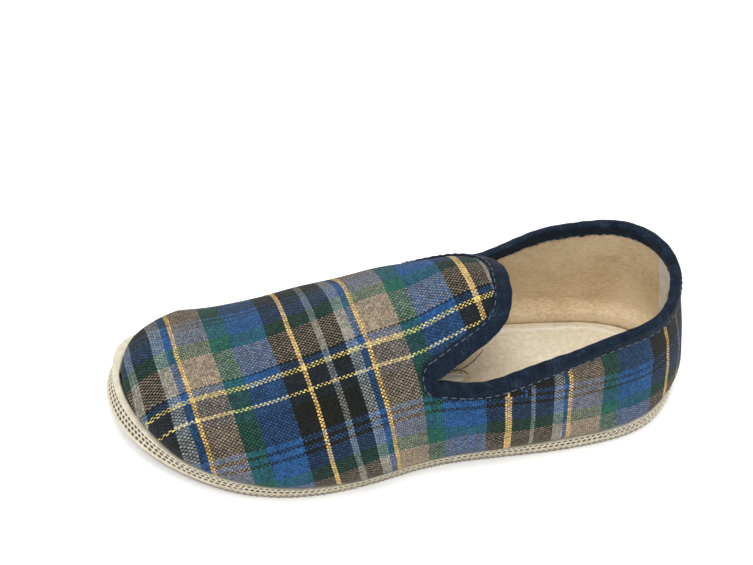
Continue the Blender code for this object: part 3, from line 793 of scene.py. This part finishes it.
WELT_IN = 0.0055
PILE = ((0.00022, 0.007, 3), (0.00035, 0.030, 4))


def footbed_piece():
    """Fleece footbed: a slab whose top rises from a rounded edge, with a welt a few millimetres in from it, and a mask
    of the painted highlight along the welt's ridge.
    """
    seat = SKIN - UPPER_WALL - GAP - INSOLE_EASE
    top = BASE + INSOLE_THICK
    points, faces, (_, table) = slab((
        (seat - 0.0006, BASE, 1.0), (seat, BASE + 0.0008, 1.0), (seat, top - 0.0022, 1.0),
        (seat - 0.0004, top - 0.0012, 1.0), (seat - 0.0012, top - 0.0005, 1.0)), 150, 56)
    number = np.unique(table)
    plan = points[number][:, :2]
    inwards = edge_distance(plan, seat, 1.0)
    off = np.abs(inwards - WELT_IN)
    rise = 0.0006 * smooth(inwards / 0.006) + 0.0007 * smooth(1 - off / 0.0014)
    rise = rise + sum(height * waves(plan, size, seed) for height, size, seed in PILE)
    points[number, 2] += rise * smooth(inwards / 0.003)
    # mask of the painted highlight along the welt's ridge
    welt_highlight = np.zeros(len(points))
    welt_highlight[number] = smooth(1 - off / 0.0012)
    return build("fleece_footbed", points, faces, attributes={"welt_highlight": welt_highlight})


KNOB_COUNT = 240
TREAD_PITCH = 0.0062
TREAD_DEEP = 0.0007


def outsole_piece():
    """Rubber outsole: knobs round its edge behind the toe, and shallow wavy grooves across its underside."""
    edge = -OUTSOLE_INSET
    points, faces, (bottom, _) = slab((
        (edge - OUTSOLE_BEVEL, 0.0, 0.0), (edge - 0.3 * OUTSOLE_BEVEL, 0.25 * OUTSOLE_BEVEL, 0.0),
        (edge, OUTSOLE_BEVEL, 0.0), (edge, 0.6 * OUTSOLE_THICK, 0.0), (edge, OUTSOLE_THICK, 0.0)), 560, 60)
    x, y = points[:, 0], points[:, 1]
    inwards = edge_distance(points[:, :2], 0.0, 0.0)
    centre = points[:, :2] - (0.5 * SOLE_LENGTH, 0.0)
    bump = 0.5 + 0.5 * np.sin(np.arctan2(centre[:, 1] * 1.6, centre[:, 0]) * KNOB_COUNT)
    proud = np.where(inwards < OUTSOLE_INSET + 0.5 * OUTSOLE_BEVEL, KNOB_PROUD * bump, 0.0) * knobs(x)
    points[:, :2] += unit(centre) * proud[:, None]
    points[:, 0] += TOE_FLARE * toe_share(x)
    groove = smooth(1 - np.abs((x + 0.0022 * np.sin(y * 2 * math.pi / 0.017)) / TREAD_PITCH % 1.0 - 0.5) / 0.22)
    low = np.zeros(len(points))
    low[np.unique(bottom)] = 1.0
    groove = low * groove * smooth((inwards - 0.004) / 0.002)
    points[:, 2] += TREAD_DEEP * groove
    # painted shade: the tread grooves take the darker hollow colour
    return build("outsole_moulded", points, faces, attributes={"hollow": 0.3 * groove})


def tape_path(quarter, flap, counts):
    """Edge of the opening as the tape runs: round the back, turned in each notch, over the tongue."""
    gap_at = np.linspace(0.0, NOTCH_SEARCH, 301)

    def meet(a, b):
        long_a, long_b = arc(a), arc(b)
        first, second = at_ways(gap_at, long_a, a), at_ways(gap_at, long_b, b)
        i = int((np.linalg.norm(first - second, axis=1) >= 2 * NOTCH_TURN).argmax())
        return gap_at[i] / long_a[-1], gap_at[i] / long_b[-1], first[i], second[i], a[0]

    def turn(a, b, tip):
        centre = 0.5 * (a + b)
        across = 0.5 * (a - b)
        ahead = tip - centre
        ahead = unit(ahead - across * (ahead @ across) / (across @ across)) * np.linalg.norm(across)
        t = np.linspace(0, math.pi, counts[1] + 2)[1:-1, None]
        return centre + across * np.cos(t) + ahead * np.sin(t)

    q0, f1, a0, b0, tip0 = meet(quarter, flap[::-1])
    q1, f0, a1, b1, tip1 = meet(quarter[::-1], flap)
    back = along(quarter, np.linspace(q0, 1 - q1, counts[0]))
    tongue = along(flap, np.linspace(f0, 1 - f1, counts[2]))
    return np.concatenate([back, turn(a1, b1, tip1), tongue, turn(b0, a0, tip0)])


# stations of the tape: round the back, in each notch, over the tongue
TAPE_COUNTS = (420, 16, 250)


class Tape:
    """The folded tape's path, its directions, and the two faces of the cloth under it."""

    def __init__(self, outside, inside):
        back, notch, _ = TAPE_COUNTS
        number = np.arange(sum(TAPE_COUNTS) + notch)
        self.tongue = smooth((number - back) / notch) * smooth((len(number) - number) / notch)
        self.paths = []
        self.trees = []
        for face in (outside, inside):
            ring = face.ring[:, WALL_ROWS]
            self.paths.append(tape_path(face.points[ring], face.points[face.flap_loop], TAPE_COUNTS))
            self.trees.append(BVHTree.FromPolygons([Vector(p) for p in face.points],
                                                   [corners(f) for f in face.faces.tolist()]))
        self.middle = 0.5 * (self.paths[0] + self.paths[1])
        ahead = unit(np.roll(self.middle, -1, 0) - np.roll(self.middle, 1, 0))
        out = self.paths[0] - self.paths[1]
        out -= ahead * (out * ahead).sum(1)[:, None]
        self.half = 0.5 * np.linalg.norm(out, axis=1)
        self.out = out / (2 * self.half[:, None])
        self.into = np.cross(ahead, self.out)
        if self.into[back // 2, 2] > 0:
            self.into = -self.into
        self.way = arc(looped(self.middle))[:-1]

    def line(self, deep, face, high):
        """Places at a distance into the cloth from the edge and a height off its outer or inner face."""
        deep = deep + 0 * self.way
        high = (high + 0 * self.way) * (1.0 if face == 0 else -1.0)
        result = []
        for i in range(len(self.way)):
            p = self.paths[face][i] + self.into[i] * deep[i]
            if deep[i] > 0:
                for _ in range(4):
                    near = np.array(self.trees[face].find_nearest(Vector(p))[0])
                    p = p + self.out[i] * ((near - p) @ self.out[i])
            result.append(p + self.out[i] * high[i])
        return np.array(result)


# the felt itself lies close on the cloth
FINE_EASE = 0.0001
# the felt is set narrower on the quarters' outside than over the tongue: shares of its width, and inside
OUTER_WIDE, TONGUE_WIDER, INNER_WIDE = 0.56, 0.50, 0.80
FELT_THICK = 0.75
# section of a leg from its cut edge to the fold: shares of its width and of its thickness
LEG = ((1.0, 0.0), (1.0, 0.45), (0.975, 0.80), (0.93, 0.97), (0.86, 1.0), (0.78, 0.93), (0.70, 0.86), (0.62, 0.93),
       (0.54, 1.02), (0.40, 1.06), (0.25, 1.05), (0.12, 1.0))


def tape_piece(tape):
    """Felt tape folded over the edge: two legs with a pressed groove, a round fold, uneven cut edges."""
    c = FINE_EASE
    way = tape.way[:, None]
    wide = [share * TAPE_WIDTH + 0.00025 * waves(way, 0.012, seed) + 0.00012 * waves(way, 0.003, seed + 1)
            for share, seed in ((OUTER_WIDE + TONGUE_WIDER * tape.tongue, 21), (INNER_WIDE, 31))]
    thick = FELT_THICK * TAPE_THICK + 0.00008 * waves(way, 0.009, 41)
    full = c + thick
    lines = [tape.line(wide[0] * deep, 0, c + thick * high) for deep, high in LEG]
    for t in np.linspace(0, math.pi, 13):
        out = (tape.half + full) * math.cos(t)
        lines.append(tape.middle + tape.out * out[:, None] - tape.into * (0.85 * full * math.sin(t))[:, None])
    lines += [tape.line(wide[1] * deep, 1, c + thick * high) for deep, high in LEG[::-1]]
    lines.append(tape.line(0.5 * wide[1], 1, c))
    for sign in (-1, 1):
        lines.append(tape.middle + sign * tape.out * (tape.half + c)[:, None] - tape.into * c)
    lines.append(tape.line(0.5 * wide[0], 0, c))
    count = len(tape.way)
    points = np.concatenate(lines)
    faces = facing(points, ring_faces(len(lines), count), tape.out, slice(8 * count, 9 * count))
    return build("felt_tape", points, faces)


STITCH_LONG = 0.0026
STITCH_STEP = 0.0039
STITCH_THICK = 0.00028
STITCH_POINTS = 7


def stitch_piece(tape):
    """Thread of the tape's seam as short rounded dashes that dip into the felt at both ends."""
    share = np.linspace(0, 1, STITCH_POINTS)
    tubes_in = []
    for face, place in ((0, 0.48 + 0.44 * tape.tongue), (1, 0.70)):
        rail = looped(tape.line(place * TAPE_WIDTH, face, FINE_EASE + 0.72 * TAPE_THICK))
        d = arc(rail)
        out = looped(tape.out) * (1 if face == 0 else -1)
        for start in np.arange(0, d[-1] - STITCH_STEP, STITCH_STEP):
            at = start + STITCH_LONG * share
            lift = at_ways(at, d, out)
            line = at_ways(at, d, rail) + lift * (0.00016 * np.sin(math.pi * share) - 0.0001)[:, None]
            run = unit(line[-1] - line[0])
            side = unit(np.cross(run, lift[STITCH_POINTS // 2]))
            tubes_in.append((line, side, np.cross(side, run)))
    line, side, up = (np.array(parts) for parts in zip(*tubes_in))
    return tubes("tape_stitches", line, side, up, STITCH_THICK * np.sin(math.pi * (0.08 + 0.84 * share)) ** 0.5, 6)


FIBRES = 5200
FIBRE_LONG = 0.0011
FIBRE_THICK = 0.00003
FIBRE_SEED = 7


def fibre_piece(name, points, faces):
    """Short stray wool fibres: each a bent three-sided thread from a seeded place on a surface, leaning at random."""
    rng = np.random.default_rng(FIBRE_SEED)
    root = rng.choice(len(points), FIBRES)
    normal = vertex_normals(points, faces)[root]
    ahead = normal * 0.55 + 0.75 * unit(rng.normal(size=(FIBRES, 3)))
    ahead += normal * np.maximum(0.25 - (ahead * normal).sum(1), 0)[:, None]
    long = FIBRE_LONG * rng.uniform(0.4, 1.0, FIBRES)[:, None]
    side = unit(np.cross(ahead, normal + 0.01))
    up = unit(np.cross(side, ahead))
    bend = up * rng.uniform(-0.5, 0.5, FIBRES)[:, None]
    lines = [points[root] + long * (ahead * t + bend * t * t) - normal * 0.0001 for t in (0.0, 0.5, 1.0)]
    return tubes(name, np.stack(lines, 1), side, up, FIBRE_THICK * np.array((1.0, 0.8, 0.2)), 3)


# loose ends at the outer notch, places in the frame in millimetres: way of each thread, then of the tape end
LOOSE = (
    ((-14, 27, 47), (-22, 23, 44), (-29, 20.5, 44), (-33, 20, 50), (-35, 20, 54)),
    ((-14, 27, 48), (-19, 24, 48.5), (-22, 22, 47), (-24, 21, 42), (-27, 21, 38)),
    ((-11, 29, 47), (-16, 25, 45), (-21, 23, 46), (-25, 22, 44), (-29, 22, 40)),
)
TAPE_END = ((-9, 29, 48), (-14, 27, 46), (-20, 25, 43), (-26, 24, 41))
LOOSE_POINTS = 15
THREAD_THICK = 0.00032
THREAD_TIP = 0.00004
TAB_HALF = 0.0024
TAB_ROWS = 9


def bent(path):
    """Smooth way through a few places in millimetres: each step eased between the middles of its neighbours."""
    knots = np.arange(len(path))
    base = at_ways(np.linspace(0, knots[-1], LOOSE_POINTS), knots, np.array(path, float))
    for _ in range(LOOSE_POINTS // 2):
        base[1:-1] = 0.25 * base[:-2] + 0.5 * base[1:-1] + 0.25 * base[2:]
    return SHIFT + 0.001 * base


def loose_piece():
    """Loose sewing threads at the outer notch as thin bent tubes."""
    side, up = (np.tile(axis, (len(LOOSE), 1)) for axis in ((0.0, 1.0, 0.0), (0.0, 0.0, 1.0)))
    sizes = [THREAD_TIP] + [THREAD_THICK] * (LOOSE_POINTS - 2) + [THREAD_TIP]
    return tubes("loose_threads", np.array([bent(path) for path in LOOSE]), side, up, sizes, 3)


def tape_end_piece():
    """Cut end of the cotton tape inside the outer notch: a thin curled tab, closed all round."""
    rows = np.linspace(-TAB_HALF, TAB_HALF, TAB_ROWS)
    curl = 0.0009 * np.sin(np.linspace(0, 2.4, LOOSE_POINTS))[:, None] * (rows / TAB_HALF)[None] ** 2
    points = np.concatenate([
        (bent(TAPE_END)[:, None] + np.stack([0 * curl, curl + thick, rows[None] + 0 * curl], -1)).reshape(-1, 3)
        for thick in (0.0002, -0.0002)])
    a = np.arange(curl.size).reshape(curl.shape)
    rim = looped(np.concatenate([a[0], a[1:, -1], a[-1, :-1][::-1], a[1:-1, 0][::-1]]))
    faces = np.concatenate([grid_faces(a[:, ::-1]), grid_faces(a + a.size), grid_faces(np.stack([rim, rim + a.size]))])
    return build("tape_end_tab", points, flipped(faces))


HEEL_STRIP = (101, 110)


def heel_strip_piece(face):
    """Blank cotton tape that covers the lining's seam inside the heel, and the fold of piping along it."""
    ring = face.ring[HEEL_STRIP[0]:HEEL_STRIP[1] + 1, 3:WALL_ROWS]
    a, b = (np.linspace(0, 1, count) for count in ring.shape)
    normal = vertex_normals(face.points, face.faces)[ring]
    edge = np.minimum(1, np.minimum(a, 1 - a) * 12)[:, None] * np.minimum(1, np.minimum(b, 1 - b) * 12)[None]
    roll = 0.0011 * np.exp(-((a - 0.90) / 0.08) ** 2)[:, None]
    lift = -0.0004 + 0.0012 * edge + roll * edge + 0.0002 * np.sin(9 * b)[None] * a[:, None]
    points = (face.points[ring] - normal * lift[..., None]).reshape(-1, 3)
    faces = facing(points, grid_faces(np.arange(ring.size).reshape(ring.shape)), -normal[:-1, :-1].reshape(-1, 3))
    piece = build("heel_seam_tape", points, faces)
    finer = piece.modifiers.new("finer", "SUBSURF")
    finer.levels = finer.render_levels = 2
    return piece


def colour(text):
    """Linear colour of an sRGB hex text."""
    parts = [int(text[k:k + 2], 16) / 255 for k in (1, 3, 5)]
    return (*[p / 12.92 if p <= 0.04045 else ((p + 0.055) / 1.055) ** 2.4 for p in parts], 1.0)


class Finish:
    """A material, and the ways its nodes are added and joined. place is where it is drawn: the cloth or the body."""

    def __init__(self, name, cloth=False):
        self.material = bpy.data.materials.new(name)
        self.material.use_nodes = True
        self.tree = self.material.node_tree
        self.tree.nodes.clear()
        self.surface = self.add("BsdfPrincipled")
        self.add("OutputMaterial", {"Surface": self.surface})
        self.place = (self.add("UVMap", uv_map="cloth"), 0) if cloth else (self.add("TexCoord"), 3)

    def add(self, kind, inputs=None, **settings):
        node = self.tree.nodes.new("ShaderNode" + kind)
        for key, value in settings.items():
            setattr(node, key, value)
        self.feed(node, inputs or {})
        return node

    def feed(self, node, inputs):
        """Gives sockets a constant, a node's first output, or a (node, output) pair."""
        for key, value in inputs.items():
            if isinstance(value, bpy.types.Node):
                value = (value, 0)
            if isinstance(value, tuple) and isinstance(value[0], bpy.types.Node):
                self.tree.links.new(value[0].outputs[value[1]], node.inputs[key])
            else:
                node.inputs[key].default_value = value

    def noise(self, scale, detail=2.0, rough=0.5, place=None):
        return self.add("TexNoise", {"Vector": place or self.place, "Scale": scale, "Detail": detail,
                                     "Roughness": rough})

    def calc(self, operation, *values):
        return self.add("Math", dict(enumerate(values)), operation=operation)

    def vector(self, operation, *values):
        return self.add("VectorMath", dict(enumerate(values)), operation=operation)

    def span(self, *values):
        """A value, its two ends, and the two that these become."""
        return self.add("MapRange", dict(enumerate(values)))

    def mix(self, share, first, second, blend="MIX"):
        return self.add("Mix", {0: share, 6: first, 7: second}, data_type="RGBA", blend_type=blend), 2

    def clouded(self, fine, scale):
        """A fine noise with soft clouds of a scale in it."""
        return self.calc("MULTIPLY_ADD", fine, 0.6, self.calc("MULTIPLY", self.noise(scale, 3.0), 0.4))

    def ramp(self, value, rows, interpolation="LINEAR"):
        """Colour of a value from (place, hex) rows."""
        node = self.add("ValToRGB", {0: value})
        elements = node.color_ramp.elements
        node.color_ramp.interpolation = interpolation
        while len(elements) > 1:
            elements.remove(elements[-1])
        elements[0].position, elements[0].color = rows[0][0], colour(rows[0][1])
        for place, text in rows[1:]:
            elements.new(place).color = colour(text)
        return node

    def dress(self, tone, rough, bump=None, **levels):
        """Joins the surface: tone, roughness, (strength, distance, height) of the bump, and other levels."""
        self.feed(self.surface, {"Base Color": tone, "Roughness": rough})
        self.feed(self.surface, {key.replace("_", " "): value for key, value in levels.items()})
        if bump:
            bump = self.add("Bump", dict(zip(("Strength", "Distance", "Height"), bump)))
            self.feed(self.surface, {"Normal": bump})
        return self.material


# dyed yarns of the plaid
YARN = {
    "tan": "#91826F", "black": "#171A17", "blue": "#255080", "yellow": "#DCB468", "lemon": "#D6C478", "navy": "#202D3C",
    "green": "#20574A", "grey": "#7E7E78", "pale": "#8A8F8E",
}
# cross yarns from the ball towards the heel, and long yarns from the ridge towards the outer side: yarn, millimetres
CROSS_START = 63.3
CROSS = (
    ("yellow", 2.1), ("black", 9.5), ("grey", 2.8), ("black", 8.8), ("pale", 5.2), ("blue", 2.7), ("yellow", 2.1),
    ("tan", 15.4), ("green", 8.6), ("blue", 17.6), ("black", 9.4),
)
LONG_START = -0.5
LONG = (
    ("tan", 16.5), ("black", 1.6), ("blue", 2.9), ("lemon", 2.6), ("navy", 8.9),
    ("lemon", 1.8), ("navy", 4.0), ("black", 14.6), ("blue", 2.3), ("black", 1.7), ("blue", 2.3), ("black", 1.7),
    ("blue", 10.5), ("green", 9.5),
)
# width of a cross yarn and of a long yarn as woven, millimetres
YARN_PITCH = (1.05, 0.85)
# the long yarns are thinner than their spacing: height of their round backs from which they show
LONG_SHOWS = 0.42


def sett_rows(sett):
    """Ramp rows of a sett, and the length of its repeat."""
    whole = sum(width for _, width in sett)
    starts = np.cumsum([0.0] + [width for _, width in sett])
    return [(start / whole, YARN[name]) for start, (name, _) in zip(starts.tolist(), sett)], whole


def plaid_flannel():
    """Wool flannel woven one over and one under from dyed yarns, then brushed: a grainy dull cloth with a fine fuzz."""
    f = Finish("plaid_wool_flannel_woven_and_brushed", cloth=True)
    total = f.place
    # slow drift of the yarns in millimetres, then their frayed edges
    for scale, detail, far in ((0.035, 2.0, 1.6), (1.1, 3.0, 0.7)):
        moved = f.vector("SUBTRACT", (f.noise(scale, detail), 1), (0.5, 0.5, 0.5))
        moved = f.add("VectorMath", {0: moved, "Scale": far}, operation="SCALE")
        total = f.vector("ADD", total, moved)
    parts = f.add("SeparateXYZ", {0: total})
    yarns = []
    tones = []
    backs = []
    for axis, sett, start, sign in ((0, CROSS, CROSS_START, -1.0), (1, LONG, LONG_START, 1.0)):
        yarn = f.calc("DIVIDE", (parts, axis), YARN_PITCH[axis])
        yarns.append(f.calc("FLOOR", yarn))
        rows, whole = sett_rows(sett)
        at = f.calc("MULTIPLY_ADD", yarns[-1], YARN_PITCH[axis] * sign / whole, -start * sign / whole)
        tones.append(f.ramp(f.calc("FRACT", at), rows, "CONSTANT"))
        # round back of the yarn as height
        backs.append(f.calc("SINE", f.calc("MULTIPLY", f.calc("FRACT", yarn), math.pi)))
    order = f.calc("FLOORED_MODULO", f.calc("ADD", *yarns), 2.0)
    over = f.calc("MULTIPLY", f.calc("LESS_THAN", order, 0.5), f.calc("GREATER_THAN", backs[1], LONG_SHOWS))
    woven = f.mix(over, *tones)
    # brushing lays dark fibres over pale ones, so a pale yarn over a dark one is dulled, but not the bright yellow
    dull = f.span(f.add("SeparateColor", {0: woven}), 0.45, 0.70, 0.30, 0.08)
    brushed = f.mix(dull, woven, f.mix(over, *tones[::-1]), "DARKEN")
    dice = f.add("TexWhiteNoise", {0: f.add("CombineXYZ", dict(enumerate(yarns)))}, noise_dimensions="3D")
    speck = f.noise(2.2)
    back = f.add("Mix", {0: over, 2: backs[0], 3: backs[1]}, data_type="FLOAT")
    # cloudy light, flecks, shade in the gaps beside each yarn, and crossings of uneven tone
    shade = f.span(f.noise(0.09, 3.0), 0.3, 0.7, 0.88, 1.12)
    for value in (f.span(speck, 0.3, 0.7, 0.45, 1.60), f.span(back, 0.0, 0.9, 0.42, 1.06),
                  f.span(dice, 0.0, 1.0, 0.62, 1.38)):
        shade = f.calc("MULTIPLY", shade, value)
    height = f.calc("ADD", back, f.calc("MULTIPLY", speck, 1.4))
    return f.dress(f.mix(1.0, brushed, shade, "MULTIPLY"), 0.94, (0.6, 0.00035, height), Sheen_Weight=0.05,
                   Sheen_Roughness=0.55, Specular_IOR_Level=0.18)


def fleece(name, tones, size, streak, welt_highlight=None):
    """Knitted fleece pile: soft dull lumps of fibre with painted shade in the depth between them, and a welt made paler
    as a painted highlight.
    """
    f = Finish(name)
    lumps = f.noise(1 / size, 5.0, 0.62, f.add("Mapping", {"Vector": f.place, "Scale": streak}))
    # painted shade: the ramp makes the pile darkest where the lumps dip and palest on their tops
    tone = f.ramp(f.clouded(lumps, 1 / 0.030), tuple(zip((0.36, 0.50, 0.64), tones)), "EASE")
    if welt_highlight:
        # painted highlight: the welt's ridge is mixed towards a paler colour
        tone = f.mix((f.add("Attribute", attribute_name="welt_highlight"), 2), tone, colour(welt_highlight))
    return f.dress(tone, 0.95, (0.7, 0.0007, lumps), Sheen_Weight=0.10, Sheen_Roughness=0.6,
                   Specular_IOR_Level=0.15)


def wool_felt():
    """Dense navy wool felt, pressed: no threads, only a fine fuzz with paler fibre ends in it."""
    f = Finish("navy_wool_felt_pressed")
    mixed = f.clouded(f.noise(1 / 0.0011, 4.0, 0.75), 1 / 0.006)
    tone = f.ramp(mixed, ((0.36, "#0B121D"), (0.52, "#15202F"), (0.68, "#2E3D4C")), "EASE")
    return f.dress(tone, 0.95, (0.8, 0.0004, mixed), Sheen_Weight=0.06, Sheen_Roughness=0.5,
                   Specular_IOR_Level=0.12)


def rubber(name, tones, hollow):
    """Moulded rubber: satin, faintly mottled, darker in the moulded hollows of the band where the mix is bare and dust
    stays, and darker in the outsole's grooves as painted shade.
    """
    f = Finish(name)
    mottle = f.noise(1 / 0.004, 4.0)
    # hollow colour: the band's own colour in its moulded hollows, painted shade in the outsole's grooves
    edge = f.span((f.add("Attribute", attribute_name="hollow"), 2), 0.04, 0.45)
    tone = f.mix(edge, f.ramp(mottle, tuple(zip((0.35, 0.65), tones))), colour(hollow))
    return f.dress(tone, f.span(mottle, 0.3, 0.7, 0.50, 0.66), (0.25, 0.0002, f.noise(1 / 0.0007, 3.0)),
                   Specular_IOR_Level=0.35)


def wool_fibre(name, dark, light):
    """Stray dyed fibre: matt, its tone from fibre to fibre a little paler or darker."""
    f = Finish(name)
    return f.dress(f.ramp(f.noise(1 / 0.002), ((0.40, dark), (0.65, light))), 0.9, Specular_IOR_Level=0.2)


def thread():
    """Cotton sewing thread, twisted: a dull navy cord with fine slanting strands, whose paler tone is a painted
    highlight along the twist.
    """
    f = Finish("cotton_thread_twisted")
    strands = f.add("TexWave", {"Vector": f.place, "Scale": 1500.0, "Distortion": 1.5}, bands_direction="DIAGONAL")
    # painted highlight: the strands run from navy to a paler grey-blue
    return f.dress(f.ramp(strands, ((0.0, "#303C4B"), (1.0, "#69747F"))), 0.85, (0.5, 0.0001, strands))


def cotton():
    """Pale cotton tape in a plain weave, limp and matt, a little grey from wear."""
    f = Finish("cotton_tape_plain_weave")
    tone = f.ramp(f.noise(1 / 0.005, 3.0), ((0.30, "#CFCBC3"), (0.70, "#E4E2DC")))
    weave = f.add("TexChecker", {"Vector": f.place, "Scale": 1 / 0.0005})
    return f.dress(tone, 0.9, (0.3, 0.0001, (weave, 1)))


def paper():
    """Plain white studio paper on a light table, faintly uneven."""
    f = Finish("studio_paper_matt")
    return f.dress(f.ramp(f.noise(8.0), ((0.0, "#F8F8F8"), (1.0, "#FDFDFD"))), 0.95, Specular_IOR_Level=0.0,
                   Emission_Color=(1.0, 1.0, 1.0, 1.0), Emission_Strength=0.22)


def settle(piece, node, material):
    """Puts a piece on the one body, for a node where it replaces one, with its finish."""
    piece.data.materials.append(material)
    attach(piece, "root")
    if node:
        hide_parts(node)


# the photograph's view: turn, rise and roll in degrees, distance, place looked at, focal length and width in pixels
VIEW_TURN, VIEW_RISE, VIEW_ROLL = 173.1, 44.8, 0.1
VIEW_AWAY = 0.8718
VIEW_AT = (0.0048, -0.0519, 0.030)
VIEW_FOCUS = 1797
VIEW_WIDTH = 753
SENSOR = 36.0


def camera():
    """The photograph's view: turned so that the outer side shows, from about 45 degrees up, 0.87 m away."""
    turn, rise, roll = (math.radians(angle) for angle in (VIEW_TURN, VIEW_RISE, VIEW_ROLL))
    back = Vector((math.sin(turn) * math.cos(rise), -math.cos(turn) * math.cos(rise), math.sin(rise)))
    right = Vector((math.cos(turn), math.sin(turn), 0.0))
    up = back.cross(right)
    right, up = math.cos(roll) * right + math.sin(roll) * up, math.cos(roll) * up - math.sin(roll) * right
    lens = bpy.data.cameras.new("view")
    lens.sensor_width = SENSOR
    lens.lens = VIEW_FOCUS / VIEW_WIDTH * SENSOR
    view = bpy.data.objects.new("view", lens)
    matrix = Matrix((right, up, back)).transposed().to_4x4()
    matrix.translation = Vector(VIEW_AT) + back * VIEW_AWAY
    view.matrix_world = matrix
    bpy.context.scene.collection.objects.link(view)
    bpy.context.scene.camera = view


# soft round lights aimed at the origin: name, place, watts
LIGHTS = (("key", (0.2, 0.7, 1.4), 8.0), ("top", (-0.05, 0.0, 1.6), 10.0))
LIGHT_SIZE = 1.0
FLOOR_HALF = 3.0
FLOOR_LINES = 13
FLOOR_BELOW = 0.00002


def studio():
    """Pale floor, white surroundings and two wide soft lights."""
    scene = bpy.context.scene
    scene.view_settings.view_transform = "Standard"
    world = bpy.data.worlds.new("studio")
    world.use_nodes = True
    world.node_tree.nodes["Background"].inputs[0].default_value = (1.0, 1.0, 1.0, 1.0)
    world.node_tree.nodes["Background"].inputs[1].default_value = 0.72
    scene.world = world
    for name, place, watts in LIGHTS:
        lamp = bpy.data.lights.new(name, "AREA")
        lamp.shape = "DISK"
        lamp.size = LIGHT_SIZE
        lamp.energy = watts
        light = bpy.data.objects.new(name, lamp)
        light.location = place
        light.rotation_euler = Vector(place).to_track_quat("Z", "Y").to_euler()
        scene.collection.objects.link(light)
    step = np.linspace(-FLOOR_HALF, FLOOR_HALF, FLOOR_LINES)
    x, y = (part.ravel() for part in np.meshgrid(step, step, indexing="ij"))
    points = np.stack([x, y, 0 * x - FLOOR_BELOW], 1) + SHIFT
    floor = build("floor_paper", points, grid_faces(np.arange(len(x)).reshape(FLOOR_LINES, FLOOR_LINES)))
    floor.data.materials.append(paper())


def main():
    camera()
    cloth, outside = cloth_piece()
    settle(cloth, "upper", plaid_flannel())
    lining, inside = lining_piece(outside)
    settle(lining, None,
           fleece("beige_fleece_brushed", ("#CBB089", "#E0CAA6", "#EFDDBE"), 0.0022, (1.0, 1.0, 4.0)))
    tape = Tape(outside, inside)
    felt = tape_piece(tape)
    settle(felt, "collar_binding", wool_felt())
    co = np.empty(3 * len(felt.data.vertices))
    felt.data.vertices.foreach_get("co", co)
    quads = np.array([p.vertices[:] for p in felt.data.polygons])
    fibres = fibre_piece("tape_fibres", co.reshape(-1, 3) + SHIFT, quads)
    settle(fibres, None, wool_fibre("navy_wool_fibre", "#1A2736", "#52606D"))
    settle(stitch_piece(tape), None, thread())
    plain = cotton()
    settle(heel_strip_piece(inside), None, plain)
    settle(tape_end_piece(), None, plain)
    settle(loose_piece(), None, wool_fibre("cotton_thread_loose", "#2E2720", "#8A7A66"))
    footbed = footbed_piece()
    # the footbed's last colour is the painted highlight along its welt
    settle(footbed, "insole",
           fleece("cream_fleece_footbed_pile", ("#CFC2A8", "#DDD2BA", "#E9E1CF"), 0.0020, (1.0, 1.0, 1.0), "#F1EDE2"))
    settle(band_piece(), "side_band", rubber("cream_rubber_moulded", ("#C9C1A9", "#DAD3BE"), "#5E4C3B"))
    # the outsole's grey-brown tones are partly painted shade of the sole's bottom edge under the band
    settle(outsole_piece(), "outsole", rubber("grey_rubber_moulded_and_painted_shade", ("#857B6C", "#978E80"), "#51493F"))
    studio()


main()
